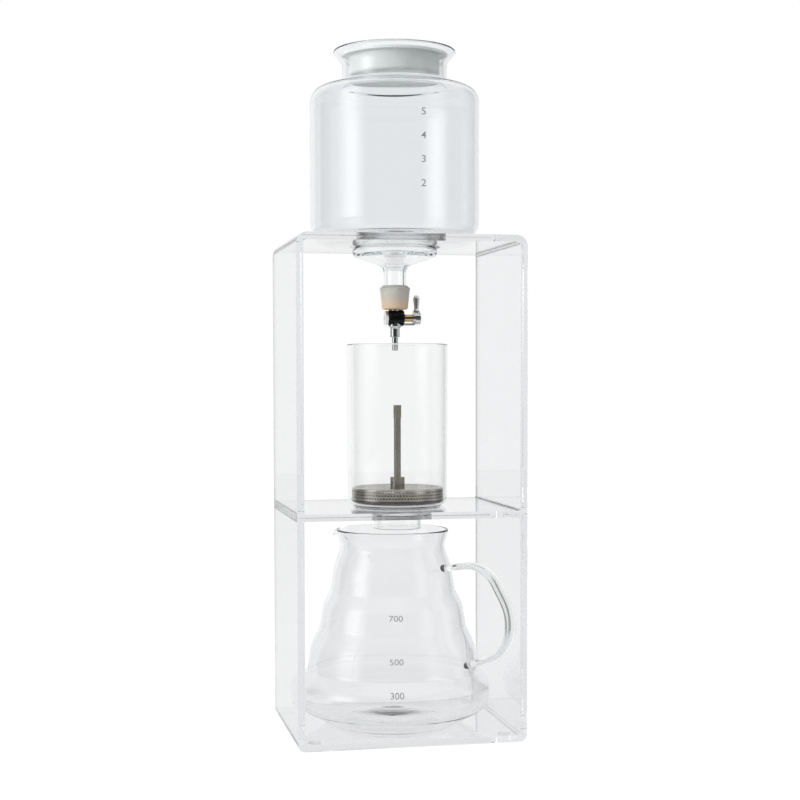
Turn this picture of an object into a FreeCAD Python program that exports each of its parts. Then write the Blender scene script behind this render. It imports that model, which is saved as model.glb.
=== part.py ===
import FreeCAD, Part
import math
import os

from FreeCAD import Vector

# Cold drip coffee tower: an open acrylic stand that carries a glass water bowl with a tap,
# a glass coffee bowl with a metal filter, and a glass jug.
# Millimetres, +Z up, front towards -Y. The origin is on the table, under the middle of the stand.
# The bowls and the jug stand by hand, so each has a small offset of its own from the Z axis.

# Stand
STAND_WIDTH = 160.0
STAND_DEPTH = 125.0
STAND_HEIGHT = 350.0
PANEL_THICKNESS = 5.0
TOP_EDGE_RADIUS = 8.0
BASE_EDGE_RADIUS = 5.0
SHELF_HEIGHT = 161.0
SHELF_HOLE_DIAMETER = 42.7
TOP_HOLE_DIAMETER = 63.5
FOOT_DIAMETER = 8.5
FOOT_HEIGHT = 1.2
FOOT_INSET = 13.0
FOOT_EDGE = 0.4

# Upper bowl (water); heights are above its seat on the top panel, depths are below it
UPPER_BOWL_X = -0.3
UPPER_RADIUS = 60.0
UPPER_WALL = 2.6
UPPER_BASE_RADIUS = 12.0
UPPER_SIDE_HEIGHT = 105.0
UPPER_SHOULDER_RADIUS = 10.5
SHOULDER_RISE = 5.5
NECK_RADIUS = 37.2
NECK_HEIGHT = 13.9
NECK_ROOT_RADIUS = 3.0
FLARE_REACH = 5.7
FLARE_RISE = 6.8
FLARE_RADIUS = 4.0
COLLAR_PLAY = 3.15
COLLAR_DEPTH = 5.4
COLLAR_ROOT_RADIUS = 2.0
BULGE_PLAY = 1.45
BULGE_TOP_DEPTH = 7.4
BULGE_TOP_ROUND = 2.0
BULGE_DEPTH = 11.4
BULGE_ROUND = 5.0
THROAT_DEPTH = 18.8
THROAT_RADIUS = 6.0
UPPER_TUBE_RADIUS = 8.0
UPPER_TUBE_WALL = 2.2
UPPER_TUBE_DEPTH = 44.9
UPPER_TUBE_WELD_DEPTH = 24.2

# Lid
LID_PLUG_RADIUS = 32.0
LID_PLUG_HEIGHT = 14.2
LID_WALL = 1.8
LID_PLUG_EDGE = 2.5
LID_FLANGE_THICKNESS = 2.2
LID_FLANGE_SETBACK = 3.6
LID_FLANGE_EDGE = 0.7
LID_ROOT_ROUND = 1.0
LID_SEAT_CLEARANCE = 0.3

# Stopper
STOPPER_TOP_RADIUS = 10.6
STOPPER_BASE_RADIUS = 9.2
STOPPER_LIP = 0.5
STOPPER_LIP_HEIGHT = 2.4
STOPPER_TOP_BEVEL = 2.2
STOPPER_OVERLAP = 12.9
STOPPER_FLOOR = 3.0
STOPPER_EDGE = 1.5
STOPPER_RIM_WIDTH = 0.6
STOPPER_RIM_EDGE = 0.4
STOPPER_FIT = 0.05

# Tap
TAP_STOPPER_GAP = 0.3
TAP_BODY_RADIUS = 5.8
TAP_BODY_LENGTH = 11.1
TAP_BODY_SHIFT = 0.75
TAP_BODY_EDGE = 1.1
PLUG_SMALL_RADIUS = 2.8
PLUG_LARGE_RADIUS = 3.4
PLUG_CLEARANCE = 0.05
PLUG_SETBACK = 0.4
PLUG_STUD_RADIUS = 1.9
SHANK_RADIUS = 2.65
SHANK_LENGTH = 6.6
SHANK_SPIGOT_RADIUS = 1.9
SHANK_SPIGOT_LENGTH = 4.2
PASSAGE_RADIUS = 1.3
INLET_RADIUS = 3.0
INLET_WALL = 0.7
INLET_RISE = 6.0
TUBE_SOCKET_DEPTH = 1.4
WASHER_RADIUS = 4.6
WASHER_THICKNESS = 0.4
SPRING_WASHER_RADIUS = 4.2
SPRING_WASHER_THICKNESS = 0.3
RETAINER_RADIUS = 5.7
RETAINER_THICKNESS = 1.9
RETAINER_SIDES = 6
HUB_RADIUS = 4.75
HUB_LENGTH = 5.5
HUB_EDGE = 0.7
LEVER_OFFSET = 2.7
LEVER_PIN_RADIUS = 1.0
LEVER_PIN_DEPTH = 1.9
LEVER_FOOT_RADIUS = 2.6
LEVER_FOOT_EDGE = 0.3
LEVER_WAIST_RADIUS = 1.6
LEVER_WAIST_RISE = 2.0
LEVER_WAIST_ROUND = 1.5
LEVER_HEAD_RADIUS = 2.4
LEVER_HEAD_DROP = 2.2
LEVER_HEAD_ROUND = 1.4
LEVER_TIP_RADIUS = 1.2
LEVER_TIP_ROUND = 0.6
LEVER_HEIGHT = 16.3
LEVER_RANGE = 90.0
STOP_PIN_RADIUS = 0.9
STOP_PIN_OFFSET = 4.5
STOP_PIN_SEAT = 2.0
STOP_PIN_ENGAGEMENT = 1.1
STOP_CLEARANCE = 0.3
DRIP_TUBE_RADIUS = 3.4
DRIP_TUBE_LENGTH = 7.9
DRIP_TUBE_WALL = 1.0
DRIP_TUBE_EDGE = 0.3
DRIP_FLANGE_RADIUS = 4.5
DRIP_FLANGE_HEIGHT = 1.8
DRIP_TIP_RADIUS = 2.2
DRIP_TIP_LENGTH = 9.5
DRIP_TIP_BORE = 1.1
DRIP_TIP_EDGE = 0.5
DRIP_TIP_SEAT = 4.0

# Lower bowl (coffee); heights are above its seat on the shelf
LOWER_BOWL_X = 1.3
LOWER_BASE_RADIUS = 35.4
LOWER_RIM_RADIUS = 36.0
LOWER_WALL = 1.8
LOWER_CORNER_RADIUS = 5.0
LOWER_HEIGHT = 115.3
LOWER_TUBE_RADIUS = 17.1
LOWER_TUBE_DEPTH = 16.4
LOWER_TUBE_ROOT_RADIUS = 1.5

# Filter
FILTER_WALL_CLEARANCE = 0.4
GASKET_WIDTH = 6.2
GASKET_HEIGHT = 3.2
GASKET_LAND = 0.3
DRUM_SETBACK = 0.5
DRUM_HEIGHT = 8.5
DRUM_SHEET = 0.6
DRUM_EDGE = 1.4
PERFORATION_DIAMETER = 2.0
PERFORATION_PITCH = 5.2
PERFORATION_MARGIN = 2.4
SKIRT_HOLE_COUNT = 36
MESH_THICKNESS = 0.3
MESH_EDGE_CLEARANCE = 0.3
COLLAR_RADIUS = 5.2
COLLAR_HEIGHT = 7.0
COLLAR_EDGE = 0.4
STEM_RADIUS = 2.5
STEM_FIT = 0.05
STEM_HEIGHT = 58.4
STEM_THREAD_RADIUS = 2.0
STEM_THREAD_LENGTH = 4.6
STEM_THREAD_EDGE = 0.3
STEM_EDGE = 0.2
CAP_WALL = 0.3
CAP_LENGTH = 9.3
CAP_TOP = 1.0
CAP_EDGE = 0.3
CLAMP_NUT_RADIUS = 4.0
CLAMP_NUT_HEIGHT = 2.8
CLAMP_NUT_SIDES = 6

# Jug; heights are above the base panel
JUG_X = -2.4
JUG_WALL = 2.0
JUG_RIM_GAP = 0.4
JUG_BASE_RADIUS = 46.0
JUG_BASE_ROUND = 14.0
JUG_BELLY_RADIUS = 69.9
JUG_BELLY_LOW = 14.0
JUG_BELLY_LOW_ROUND = 14.0
JUG_BELLY_TOP = 29.5
JUG_BELLY_TOP_ROUND = 12.0
JUG_WAIST_RADII = (61.0, 52.4, 44.5)
JUG_WAIST_HEIGHTS = (39.3, 69.8, 95.8)
JUG_WAIST_ROUND = 4.0
JUG_BAND_RADII = (58.8, 50.0, 42.0)
JUG_BAND_HEIGHTS = (56.5, 85.5, 112.5)
JUG_BAND_ROUND = 18.0
JUG_NECK_RADIUS = 36.9
JUG_NECK_HEIGHT = 127.0
JUG_NECK_ROUND = 8.0
JUG_MOUTH_RADIUS = 40.0
JUG_PUNT_RADIUS = 30.0
JUG_PUNT_RISE = 1.5
JUG_PUNT_ROUND = 4.0
SPOUT_ANGLE = 138.0
SPOUT_REACH = 51.5
SPOUT_DROP = 6.6
SPOUT_TIP_RADIUS = 3.7
SPOUT_ROOT_REACH = 28.0
SPOUT_ROOT_RADIUS = 8.5
SPOUT_ROOT_DROP = 1.0
SPOUT_CHANNEL_RISE = 2.5
HANDLE_ANGLE = -42.0
HANDLE_THICKNESS = 5.0
HANDLE_WIDTH = 15.4
HANDLE_SIDE_CLEARANCE = 1.74
HANDLE_TOP_ROOT = 112.4
HANDLE_CREST_SETBACK = 18.7
HANDLE_CREST_HEIGHT = 118.4
HANDLE_CREST_ROUND = 24.0
HANDLE_KNEE_HEIGHT = 86.0
HANDLE_KNEE_ROUND = 30.0
HANDLE_HEEL_HEIGHT = 58.2
HANDLE_HEEL_ROUND = 24.0
HANDLE_BASE_ROOT = 43.6
HANDLE_ROOT_DEPTH = 4.0

# Heights above the table
BASE_Z = FOOT_HEIGHT
FLOOR_Z = BASE_Z + PANEL_THICKNESS
SHELF_Z = BASE_Z + SHELF_HEIGHT
TOP_Z = BASE_Z + STAND_HEIGHT

# Largest share of a straight run that a round may take, and the smallest round that a wall keeps
ROUND_ROOM = 0.98
SMALLEST_ROUND = 0.2

UP = Vector(0, 0, 1)
ALONG_X = Vector(1, 0, 0)
ALONG_Y = Vector(0, 1, 0)


def outline_edges(corners):
    """Edges through corners (a, b, round): straight runs, and a tangent arc where there is a round.

    A round that its two runs have no room for is made as large as they allow.
    """
    points = [Vector(a, 0, b) for a, b, *_ in corners]
    edges = []
    start = points[0]
    for index in range(1, len(corners) - 1):
        corner = points[index]
        back = (points[index - 1] - corner).normalize()
        ahead = (points[index + 1] - corner).normalize()
        radius = corners[index][2]
        half = back.getAngle(ahead) / 2
        if radius <= 0 or half > math.pi / 2 - 1e-4:
            edges.append(Part.makeLine(start, corner))
            start = corner
            continue
        room = min(start.distanceToPoint(corner), corner.distanceToPoint(points[index + 1]))
        reach = min(radius / math.tan(half), ROUND_ROOM * room)
        radius = reach * math.tan(half)
        middle = (back + ahead).normalize() * (radius / math.sin(half) - radius)
        arc_start = corner + back * reach
        if start.distanceToPoint(arc_start) > 1e-6:
            edges.append(Part.makeLine(start, arc_start))
        arc_end = corner + ahead * reach
        edges.append(Part.Arc(arc_start, corner + middle, arc_end).toShape())
        start = arc_end
    edges.append(Part.makeLine(start, points[-1]))
    return edges


def inner_corners(corners, wall):
    """The same outline moved to the left of its direction by the wall; each round keeps its centre."""
    points = [Vector(a, 0, b) for a, b, *_ in corners]
    runs = [(q - p).normalize() for p, q in zip(points, points[1:])]
    sides = [Vector(-run.z, 0, run.x) * wall for run in runs]
    moved = [points[0] + sides[0]]
    rounds = [0.0]
    for index in range(1, len(points) - 1):
        before, after = runs[index - 1], runs[index]
        turn = before.x * after.z - before.z * after.x
        along = (1 - before.dot(after)) / turn * wall
        moved.append(points[index] + sides[index - 1] - before * along)
        radius = corners[index][2]
        grown = max(radius - math.copysign(wall, turn), SMALLEST_ROUND)
        rounds.append(grown if radius else 0.0)
    moved.append(points[-1] + sides[-1])
    rounds.append(0.0)
    return [(p.x, p.z, r) for p, r in zip(moved, rounds)]


def rounded_end(outer, inner, direction):
    """The half circle that closes a wall's end, from its outer to its inner point."""
    crown = (outer + inner) * 0.5 + direction * (outer.distanceToPoint(inner) / 2)
    return Part.Arc(outer, crown, inner).toShape()


def turned(edges):
    """The solid that the closed outline of these edges sweeps in a full turn round Z."""
    face = Part.Face(Part.Wire(Part.__sortEdges__(edges)))
    return face.revolve(Vector(0, 0, 0), UP, 360)


def turned_polygon(corners):
    """The solid of revolution of a closed outline of corners (radius, height, round)."""
    first = corners[0]
    return turned(outline_edges(list(corners) + [first]))


def vessel(corners, wall, rims=(True, True)):
    """A turned wall of even thickness inside an outline, with a rounded rim at each end that is open."""
    inside = inner_corners(corners, wall)
    outer = [Vector(a, 0, b) for a, b, *_ in corners]
    inner = [Vector(a, 0, b) for a, b, _ in inside]
    edges = outline_edges(corners) + outline_edges(inside)
    ends = ((0, (outer[0] - outer[1]).normalize()), (-1, (outer[-1] - outer[-2]).normalize()))
    for (end, direction), rounded in zip(ends, rims):
        if rounded:
            edges.append(rounded_end(outer[end], inner[end], direction))
        else:
            edges.append(Part.makeLine(outer[end], inner[end]))
    return turned(edges)


def filled(corners):
    """The solid that an open outline encloses with the Z axis."""
    first, last = corners[0], corners[-1]
    edges = outline_edges(corners)
    if last[0] > 0:
        edges.append(Part.makeLine(Vector(last[0], 0, last[1]), Vector(0, 0, last[1])))
    if first[0] > 0:
        edges.append(Part.makeLine(Vector(0, 0, first[1]), Vector(first[0], 0, first[1])))
    edges.append(Part.makeLine(Vector(0, 0, last[1]), Vector(0, 0, first[1])))
    return turned(edges)


def rod(radius, start, end):
    """A cylinder between two points."""
    return Part.makeCylinder(radius, start.distanceToPoint(end), start, end - start)


def tube(radius, bore, low, high):
    """An upright tube on the Z axis."""
    outside = rod(radius, Vector(0, 0, low), Vector(0, 0, high))
    return outside.cut(rod(bore, Vector(0, 0, low), Vector(0, 0, high)))


def along_x(shape, x, z):
    """A shape turned from the Z axis to the X axis, with its origin put at (x, 0, z)."""
    shape.rotate(Vector(0, 0, 0), ALONG_Y, 90)
    shape.translate(Vector(x, 0, z))
    return shape


def prism(sides, radius, low, high):
    """An upright regular prism on the Z axis; the radius is that of its corners."""
    angles = [2 * math.pi * (i + 0.5) / sides for i in range(sides + 1)]
    corners = [Vector(radius * math.cos(a), radius * math.sin(a), low) for a in angles]
    return Part.Face(Part.makePolygon(corners)).extrude(Vector(0, 0, high - low))


# ---------------------------------------------------------------- stand

def case_ring():
    """The stand's four walls as one extrusion: a rounded outline with a square opening."""
    half = STAND_WIDTH / 2
    inner = half - PANEL_THICKNESS
    outline = [
        (0, BASE_Z, 0),
        (half, BASE_Z, BASE_EDGE_RADIUS),
        (half, TOP_Z, TOP_EDGE_RADIUS),
        (-half, TOP_Z, TOP_EDGE_RADIUS),
        (-half, BASE_Z, BASE_EDGE_RADIUS),
        (0, BASE_Z, 0),
    ]
    block = Part.Face(Part.Wire(outline_edges(outline))).extrude(Vector(0, STAND_DEPTH, 0))
    ceiling = TOP_Z - PANEL_THICKNESS
    opening = Part.makeBox(2 * inner, STAND_DEPTH, ceiling - FLOOR_Z, Vector(-inner, 0, FLOOR_Z))
    ring = block.cut(opening)
    ring.translate(Vector(0, -STAND_DEPTH / 2, 0))
    return ring


def panel_wedge(corners):
    """The region between mitre planes that one panel of the ring fills."""
    points = [Vector(x, -STAND_DEPTH, z) for x, z in corners]
    return Part.Face(Part.makePolygon(points + points[:1])).extrude(Vector(0, 2 * STAND_DEPTH, 0))


def stand_panels():
    """Side, top and base panels, mitred where they meet."""
    half = STAND_WIDTH / 2
    low, high = BASE_Z, TOP_Z
    middle_low = low + half
    middle_high = high - half
    ring = case_ring()
    wedges = {
        "left_side_panel": ((-half, low), (-half, high), (0, middle_high), (0, middle_low)),
        "right_side_panel": ((half, low), (0, middle_low), (0, middle_high), (half, high)),
        "top_panel": ((-half, high), (half, high), (0, middle_high)),
        "base_panel": ((-half, low), (0, middle_low), (half, low)),
    }
    panels = {name: ring.common(panel_wedge(corners)) for name, corners in wedges.items()}
    hole = rod(TOP_HOLE_DIAMETER / 2, Vector(0, 0, TOP_Z - PANEL_THICKNESS), Vector(0, 0, TOP_Z))
    panels["top_panel"] = panels["top_panel"].cut(hole)
    return panels


def shelf_panel():
    inner = STAND_WIDTH / 2 - PANEL_THICKNESS
    corner = Vector(-inner, -STAND_DEPTH / 2, SHELF_Z - PANEL_THICKNESS)
    shelf = Part.makeBox(2 * inner, STAND_DEPTH, PANEL_THICKNESS, corner)
    return shelf.cut(rod(SHELF_HOLE_DIAMETER / 2, Vector(0, 0, corner.z), Vector(0, 0, SHELF_Z)))


def bumper_feet():
    """Four round pads under the corners of the base panel."""
    radius = FOOT_DIAMETER / 2
    pad = turned_polygon([(0, 0, 0), (radius, 0, FOOT_EDGE), (radius, FOOT_HEIGHT, 0), (0, FOOT_HEIGHT, 0)])
    pads = []
    for side in (-1, 1):
        for end in (-1, 1):
            place = Vector(side * (STAND_WIDTH / 2 - FOOT_INSET), end * (STAND_DEPTH / 2 - FOOT_INSET), 0)
            pads.append(pad.translated(place))
    return Part.makeCompound(pads)


# ---------------------------------------------------------------- upper bowl and lid

TUBE_END_Z = TOP_Z - UPPER_TUBE_DEPTH
TUBE_WELD_Z = TOP_Z - UPPER_TUBE_WELD_DEPTH
SHOULDER_Z = TOP_Z + UPPER_SIDE_HEIGHT
NECK_ROOT_Z = SHOULDER_Z + SHOULDER_RISE
NECK_TOP_Z = NECK_ROOT_Z + NECK_HEIGHT
FLARE_Z = NECK_TOP_Z + FLARE_RISE
FLARE_END_RADIUS = NECK_RADIUS + FLARE_REACH
COLLAR_OUTER_RADIUS = TOP_HOLE_DIAMETER / 2 - COLLAR_PLAY
BULGE_RADIUS = TOP_HOLE_DIAMETER / 2 - BULGE_PLAY
WALL_JOIN_Z = TOP_Z - COLLAR_DEPTH / 2


def upper_outline():
    """Outside of the water bowl from the middle of its collar to the lip."""
    return [
        (COLLAR_OUTER_RADIUS, WALL_JOIN_Z, 0),
        (COLLAR_OUTER_RADIUS, TOP_Z, COLLAR_ROOT_RADIUS),
        (UPPER_RADIUS, TOP_Z, UPPER_BASE_RADIUS),
        (UPPER_RADIUS, SHOULDER_Z, UPPER_SHOULDER_RADIUS),
        (NECK_RADIUS, NECK_ROOT_Z, NECK_ROOT_RADIUS),
        (NECK_RADIUS, NECK_TOP_Z, FLARE_RADIUS),
        (FLARE_END_RADIUS, FLARE_Z, 0),
    ]


def funnel_outline(tube_wall, wall, rise):
    """The funnel from the outlet tube's weld to the collar, moved inwards by the walls and up by a rise."""
    return [
        (UPPER_TUBE_RADIUS - tube_wall, TUBE_WELD_Z, 0),
        (UPPER_TUBE_RADIUS - tube_wall, TOP_Z - THROAT_DEPTH + rise, THROAT_RADIUS + wall),
        (BULGE_RADIUS - wall, TOP_Z - BULGE_DEPTH + rise, BULGE_ROUND - wall),
        (BULGE_RADIUS - wall, TOP_Z - BULGE_TOP_DEPTH, BULGE_TOP_ROUND),
        (COLLAR_OUTER_RADIUS - wall, TOP_Z - COLLAR_DEPTH, BULGE_TOP_ROUND),
        (COLLAR_OUTER_RADIUS - wall, WALL_JOIN_Z, 0),
    ]


def upper_bowl():
    """Water bowl from its collar to its lip; the funnel and the outlet tube are welded on below it."""
    return vessel(upper_outline(), UPPER_WALL, rims=(False, True))


def bowl_funnel():
    """Funnel that bulges under the panel; its wall thins from the bowl's to the tube's."""
    outer = funnel_outline(0, 0, 0)
    inner = funnel_outline(UPPER_TUBE_WALL, UPPER_WALL, UPPER_WALL)
    edges = outline_edges(outer) + outline_edges(inner)
    for end in (0, -1):
        (outer_radius, z, _), (inner_radius, _, _) = outer[end], inner[end]
        edges.append(Part.makeLine(Vector(outer_radius, 0, z), Vector(inner_radius, 0, z)))
    return turned(edges)


def bowl_outlet_tube():
    """Straight tube below the funnel, rounded at its end."""
    corners = [(UPPER_TUBE_RADIUS, TUBE_END_Z, 0), (UPPER_TUBE_RADIUS, TUBE_WELD_Z, 0)]
    return vessel(corners, UPPER_TUBE_WALL, rims=(True, False))


def lid_cap():
    """Hollow plug with a flange that rests on the flare of the lip."""
    flare = Vector(FLARE_REACH, 0, FLARE_RISE).normalize()
    lip_inner = Vector(FLARE_END_RADIUS - flare.z * UPPER_WALL, 0, FLARE_Z + flare.x * UPPER_WALL)
    flange_radius = lip_inner.x - LID_FLANGE_SETBACK
    seat_z = lip_inner.z - LID_FLANGE_SETBACK * FLARE_RISE / FLARE_REACH
    flange_z = seat_z + LID_SEAT_CLEARANCE / flare.x
    top = flange_z + LID_FLANGE_THICKNESS
    bottom = flange_z - LID_PLUG_HEIGHT
    inside = LID_PLUG_RADIUS - LID_WALL
    return turned_polygon([
        (0, bottom, 0),
        (LID_PLUG_RADIUS, bottom, LID_PLUG_EDGE),
        (LID_PLUG_RADIUS, flange_z, LID_ROOT_ROUND),
        (flange_radius, flange_z, 0),
        (flange_radius, top, LID_FLANGE_EDGE),
        (inside, top, LID_ROOT_ROUND),
        (inside, bottom + LID_WALL, LID_PLUG_EDGE),
        (0, bottom + LID_WALL, 0),
    ])


# ---------------------------------------------------------------- stopper and tap

STOPPER_BOTTOM_Z = TUBE_END_Z - UPPER_TUBE_WALL / 2 - STOPPER_FLOOR
STOPPER_TOP_Z = TUBE_END_Z + STOPPER_OVERLAP
TAP_Z = STOPPER_BOTTOM_Z - TAP_STOPPER_GAP - TAP_BODY_RADIUS
TAP_LEFT = TAP_BODY_SHIFT - TAP_BODY_LENGTH / 2
TAP_RIGHT = TAP_BODY_SHIFT + TAP_BODY_LENGTH / 2
HUB_X = TAP_RIGHT + SHANK_LENGTH
LEVER_X = HUB_X + LEVER_OFFSET


def silicone_stopper():
    """Tapered cup that grips the outlet tube and has a hole for the tap's inlet in its floor."""
    socket = UPPER_TUBE_RADIUS + STOPPER_FIT
    rim = STOPPER_TOP_RADIUS + STOPPER_LIP
    floor_z = STOPPER_BOTTOM_Z + STOPPER_FLOOR
    hole = INLET_RADIUS + STOPPER_FIT
    return turned_polygon([
        (hole, STOPPER_BOTTOM_Z, 0),
        (STOPPER_BASE_RADIUS, STOPPER_BOTTOM_Z, STOPPER_EDGE),
        (STOPPER_TOP_RADIUS, STOPPER_TOP_Z - STOPPER_TOP_BEVEL - STOPPER_LIP_HEIGHT / 3, 0),
        (rim, STOPPER_TOP_Z - STOPPER_TOP_BEVEL, STOPPER_LIP / 2),
        (socket + STOPPER_RIM_WIDTH, STOPPER_TOP_Z, STOPPER_RIM_EDGE),
        (socket, STOPPER_TOP_Z, 0),
        (socket, floor_z, 0),
        (hole, floor_z, 0),
    ])


def plug_cone(extra, start, end):
    """The tap's taper between two places along X, grown outwards by a clearance."""
    slope = (PLUG_LARGE_RADIUS - PLUG_SMALL_RADIUS) / TAP_BODY_LENGTH
    small = PLUG_SMALL_RADIUS + slope * (start - TAP_LEFT) + extra
    large = PLUG_SMALL_RADIUS + slope * (end - TAP_LEFT) + extra
    return Part.makeCone(small, large, end - start, Vector(start, 0, TAP_Z), ALONG_X)


def stop_pin_ends():
    """Both ends of the stop pin's axis."""
    z = TAP_Z - STOP_PIN_OFFSET
    return Vector(TAP_RIGHT - STOP_PIN_SEAT, 0, z), Vector(HUB_X + STOP_PIN_ENGAGEMENT, 0, z)


def tap_sockets():
    """The places in the tap body that take the inlet tube and the drip tube."""
    top = TAP_Z + TAP_BODY_RADIUS
    bottom = TAP_Z - TAP_BODY_RADIUS
    return top - TUBE_SOCKET_DEPTH, bottom + TUBE_SOCKET_DEPTH


def tap_body():
    """Black barrel across the outlet, bored for the taper, the water's way and the stop pin."""
    barrel = along_x(turned_polygon([
        (0, 0, 0),
        (TAP_BODY_RADIUS, 0, TAP_BODY_EDGE),
        (TAP_BODY_RADIUS, TAP_BODY_LENGTH, TAP_BODY_EDGE),
        (0, TAP_BODY_LENGTH, 0),
    ]), TAP_LEFT, TAP_Z)
    inlet_z, outlet_z = tap_sockets()
    above = Vector(0, 0, TAP_Z + 2 * TAP_BODY_RADIUS)
    below = Vector(0, 0, TAP_Z - 2 * TAP_BODY_RADIUS)
    bores = [
        plug_cone(PLUG_CLEARANCE, TAP_LEFT, TAP_RIGHT),
        rod(PASSAGE_RADIUS, below, above),
        rod(INLET_RADIUS, Vector(0, 0, inlet_z), above),
        rod(DRIP_TUBE_RADIUS, below, Vector(0, 0, outlet_z)),
        rod(STOP_PIN_RADIUS, *stop_pin_ends()),
    ]
    return barrel.cut(bores)


def tap_inlet_tube():
    inlet_z, _ = tap_sockets()
    top = STOPPER_BOTTOM_Z + INLET_RISE
    return tube(INLET_RADIUS, INLET_RADIUS - INLET_WALL, inlet_z, top)


def drip_tube_end():
    return TAP_Z - TAP_BODY_RADIUS - DRIP_TUBE_LENGTH


def drip_tube():
    """Wide outlet tube with a flared collar against the tap; its lower end holds the drip tip."""
    _, outlet_z = tap_sockets()
    low = drip_tube_end()
    bore = DRIP_TUBE_RADIUS - DRIP_TUBE_WALL
    outside = turned_polygon([
        (0, low, 0),
        (DRIP_TUBE_RADIUS, low, DRIP_TUBE_EDGE),
        (DRIP_TUBE_RADIUS, outlet_z, 0),
        (0, outlet_z, 0),
    ])
    flange_z = TAP_Z - TAP_BODY_RADIUS
    flange = turned_polygon([
        (0, flange_z - DRIP_FLANGE_HEIGHT, 0),
        (DRIP_TUBE_RADIUS, flange_z - DRIP_FLANGE_HEIGHT, 0),
        (DRIP_FLANGE_RADIUS, flange_z, 0),
        (DRIP_FLANGE_RADIUS, TAP_Z, 0),
        (0, TAP_Z, 0),
    ])
    barrel = rod(TAP_BODY_RADIUS, Vector(TAP_LEFT, 0, TAP_Z), Vector(TAP_RIGHT, 0, TAP_Z))
    tube_with_flange = outside.fuse(flange.cut(barrel)).removeSplitter()
    return tube_with_flange.cut(rod(bore, Vector(0, 0, low), Vector(0, 0, TAP_Z)))


def drip_tip():
    """Narrow nozzle with a plug end that fits the drip tube."""
    low = drip_tube_end() - DRIP_TIP_LENGTH
    seat = drip_tube_end()
    shank = DRIP_TUBE_RADIUS - DRIP_TUBE_WALL
    inner_end = seat + DRIP_TIP_SEAT
    outside = turned_polygon([
        (0, low, 0),
        (DRIP_TIP_RADIUS, low, DRIP_TIP_EDGE),
        (DRIP_TIP_RADIUS, seat, 0),
        (shank, seat, 0),
        (shank, inner_end, 0),
        (0, inner_end, 0),
    ])
    return outside.cut(rod(DRIP_TIP_BORE, Vector(0, 0, low), Vector(0, 0, inner_end)))


def tap_plug():
    """Tapered key with its cross bore, the nut's stud on the left and the lever's shank on the right."""
    small_end = TAP_LEFT + PLUG_SETBACK
    washers = WASHER_THICKNESS + SPRING_WASHER_THICKNESS
    stud_end = TAP_LEFT - washers - RETAINER_THICKNESS
    pieces = [
        rod(PLUG_STUD_RADIUS, Vector(stud_end, 0, TAP_Z), Vector(small_end, 0, TAP_Z)),
        rod(SHANK_RADIUS, Vector(TAP_RIGHT, 0, TAP_Z), Vector(HUB_X, 0, TAP_Z)),
        rod(SHANK_SPIGOT_RADIUS, Vector(HUB_X, 0, TAP_Z), Vector(HUB_X + SHANK_SPIGOT_LENGTH, 0, TAP_Z)),
    ]
    key = plug_cone(0, small_end, TAP_RIGHT).fuse(pieces)
    reach = 2 * PLUG_LARGE_RADIUS
    bore = rod(PASSAGE_RADIUS, Vector(0, -reach, TAP_Z), Vector(0, reach, TAP_Z))
    return key.cut(bore)


def ring_on_stud(radius, thickness, start):
    """A flat ring on the plug's stud, from a place along X towards the left."""
    ring = tube(radius, PLUG_STUD_RADIUS, 0, thickness)
    return along_x(ring, start - thickness, TAP_Z)


def tap_washer():
    return ring_on_stud(WASHER_RADIUS, WASHER_THICKNESS, TAP_LEFT)


def tap_spring_washer():
    return ring_on_stud(SPRING_WASHER_RADIUS, SPRING_WASHER_THICKNESS, TAP_LEFT - WASHER_THICKNESS)


def retaining_nut():
    start = TAP_LEFT - WASHER_THICKNESS - SPRING_WASHER_THICKNESS
    nut = prism(RETAINER_SIDES, RETAINER_RADIUS, 0, RETAINER_THICKNESS)
    nut = nut.cut(rod(PLUG_STUD_RADIUS, Vector(0, 0, 0), Vector(0, 0, RETAINER_THICKNESS)))
    return along_x(nut, start - RETAINER_THICKNESS, TAP_Z)


def lever_hub():
    """Chrome hub on the shank; a notch in its rim lets it turn about the stop pin."""
    hub = along_x(turned_polygon([
        (0, 0, 0),
        (HUB_RADIUS, 0, HUB_EDGE / 2),
        (HUB_RADIUS, HUB_LENGTH, HUB_EDGE),
        (0, HUB_LENGTH, 0),
    ]), HUB_X, TAP_Z)
    spigot = rod(SHANK_SPIGOT_RADIUS, Vector(HUB_X, 0, TAP_Z), Vector(HUB_X + SHANK_SPIGOT_LENGTH, 0, TAP_Z))
    foot = Vector(LEVER_X, 0, TAP_Z + HUB_RADIUS)
    socket = rod(LEVER_PIN_RADIUS, foot - UP * LEVER_PIN_DEPTH, foot + UP)
    return hub.cut([spigot, socket, stop_notch()])


def stop_notch():
    """The sector of the hub's rim that the stop pin sweeps, with room at each end."""
    depth = STOP_PIN_ENGAGEMENT + STOP_CLEARANCE
    inner = STOP_PIN_OFFSET - STOP_PIN_RADIUS - STOP_CLEARANCE
    spare = math.degrees((STOP_PIN_RADIUS + STOP_CLEARANCE) / STOP_PIN_OFFSET)
    sector = Part.makeCylinder(2 * HUB_RADIUS, depth, Vector(0, 0, 0), UP, LEVER_RANGE + 2 * spare)
    sector = sector.cut(Part.makeCylinder(inner, depth))
    # It starts straight below the axis, at the pin, and runs back by the lever's range.
    sector = along_x(sector, HUB_X, TAP_Z)
    sector.rotate(Vector(HUB_X, 0, TAP_Z), ALONG_X, -LEVER_RANGE - spare)
    return sector


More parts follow.
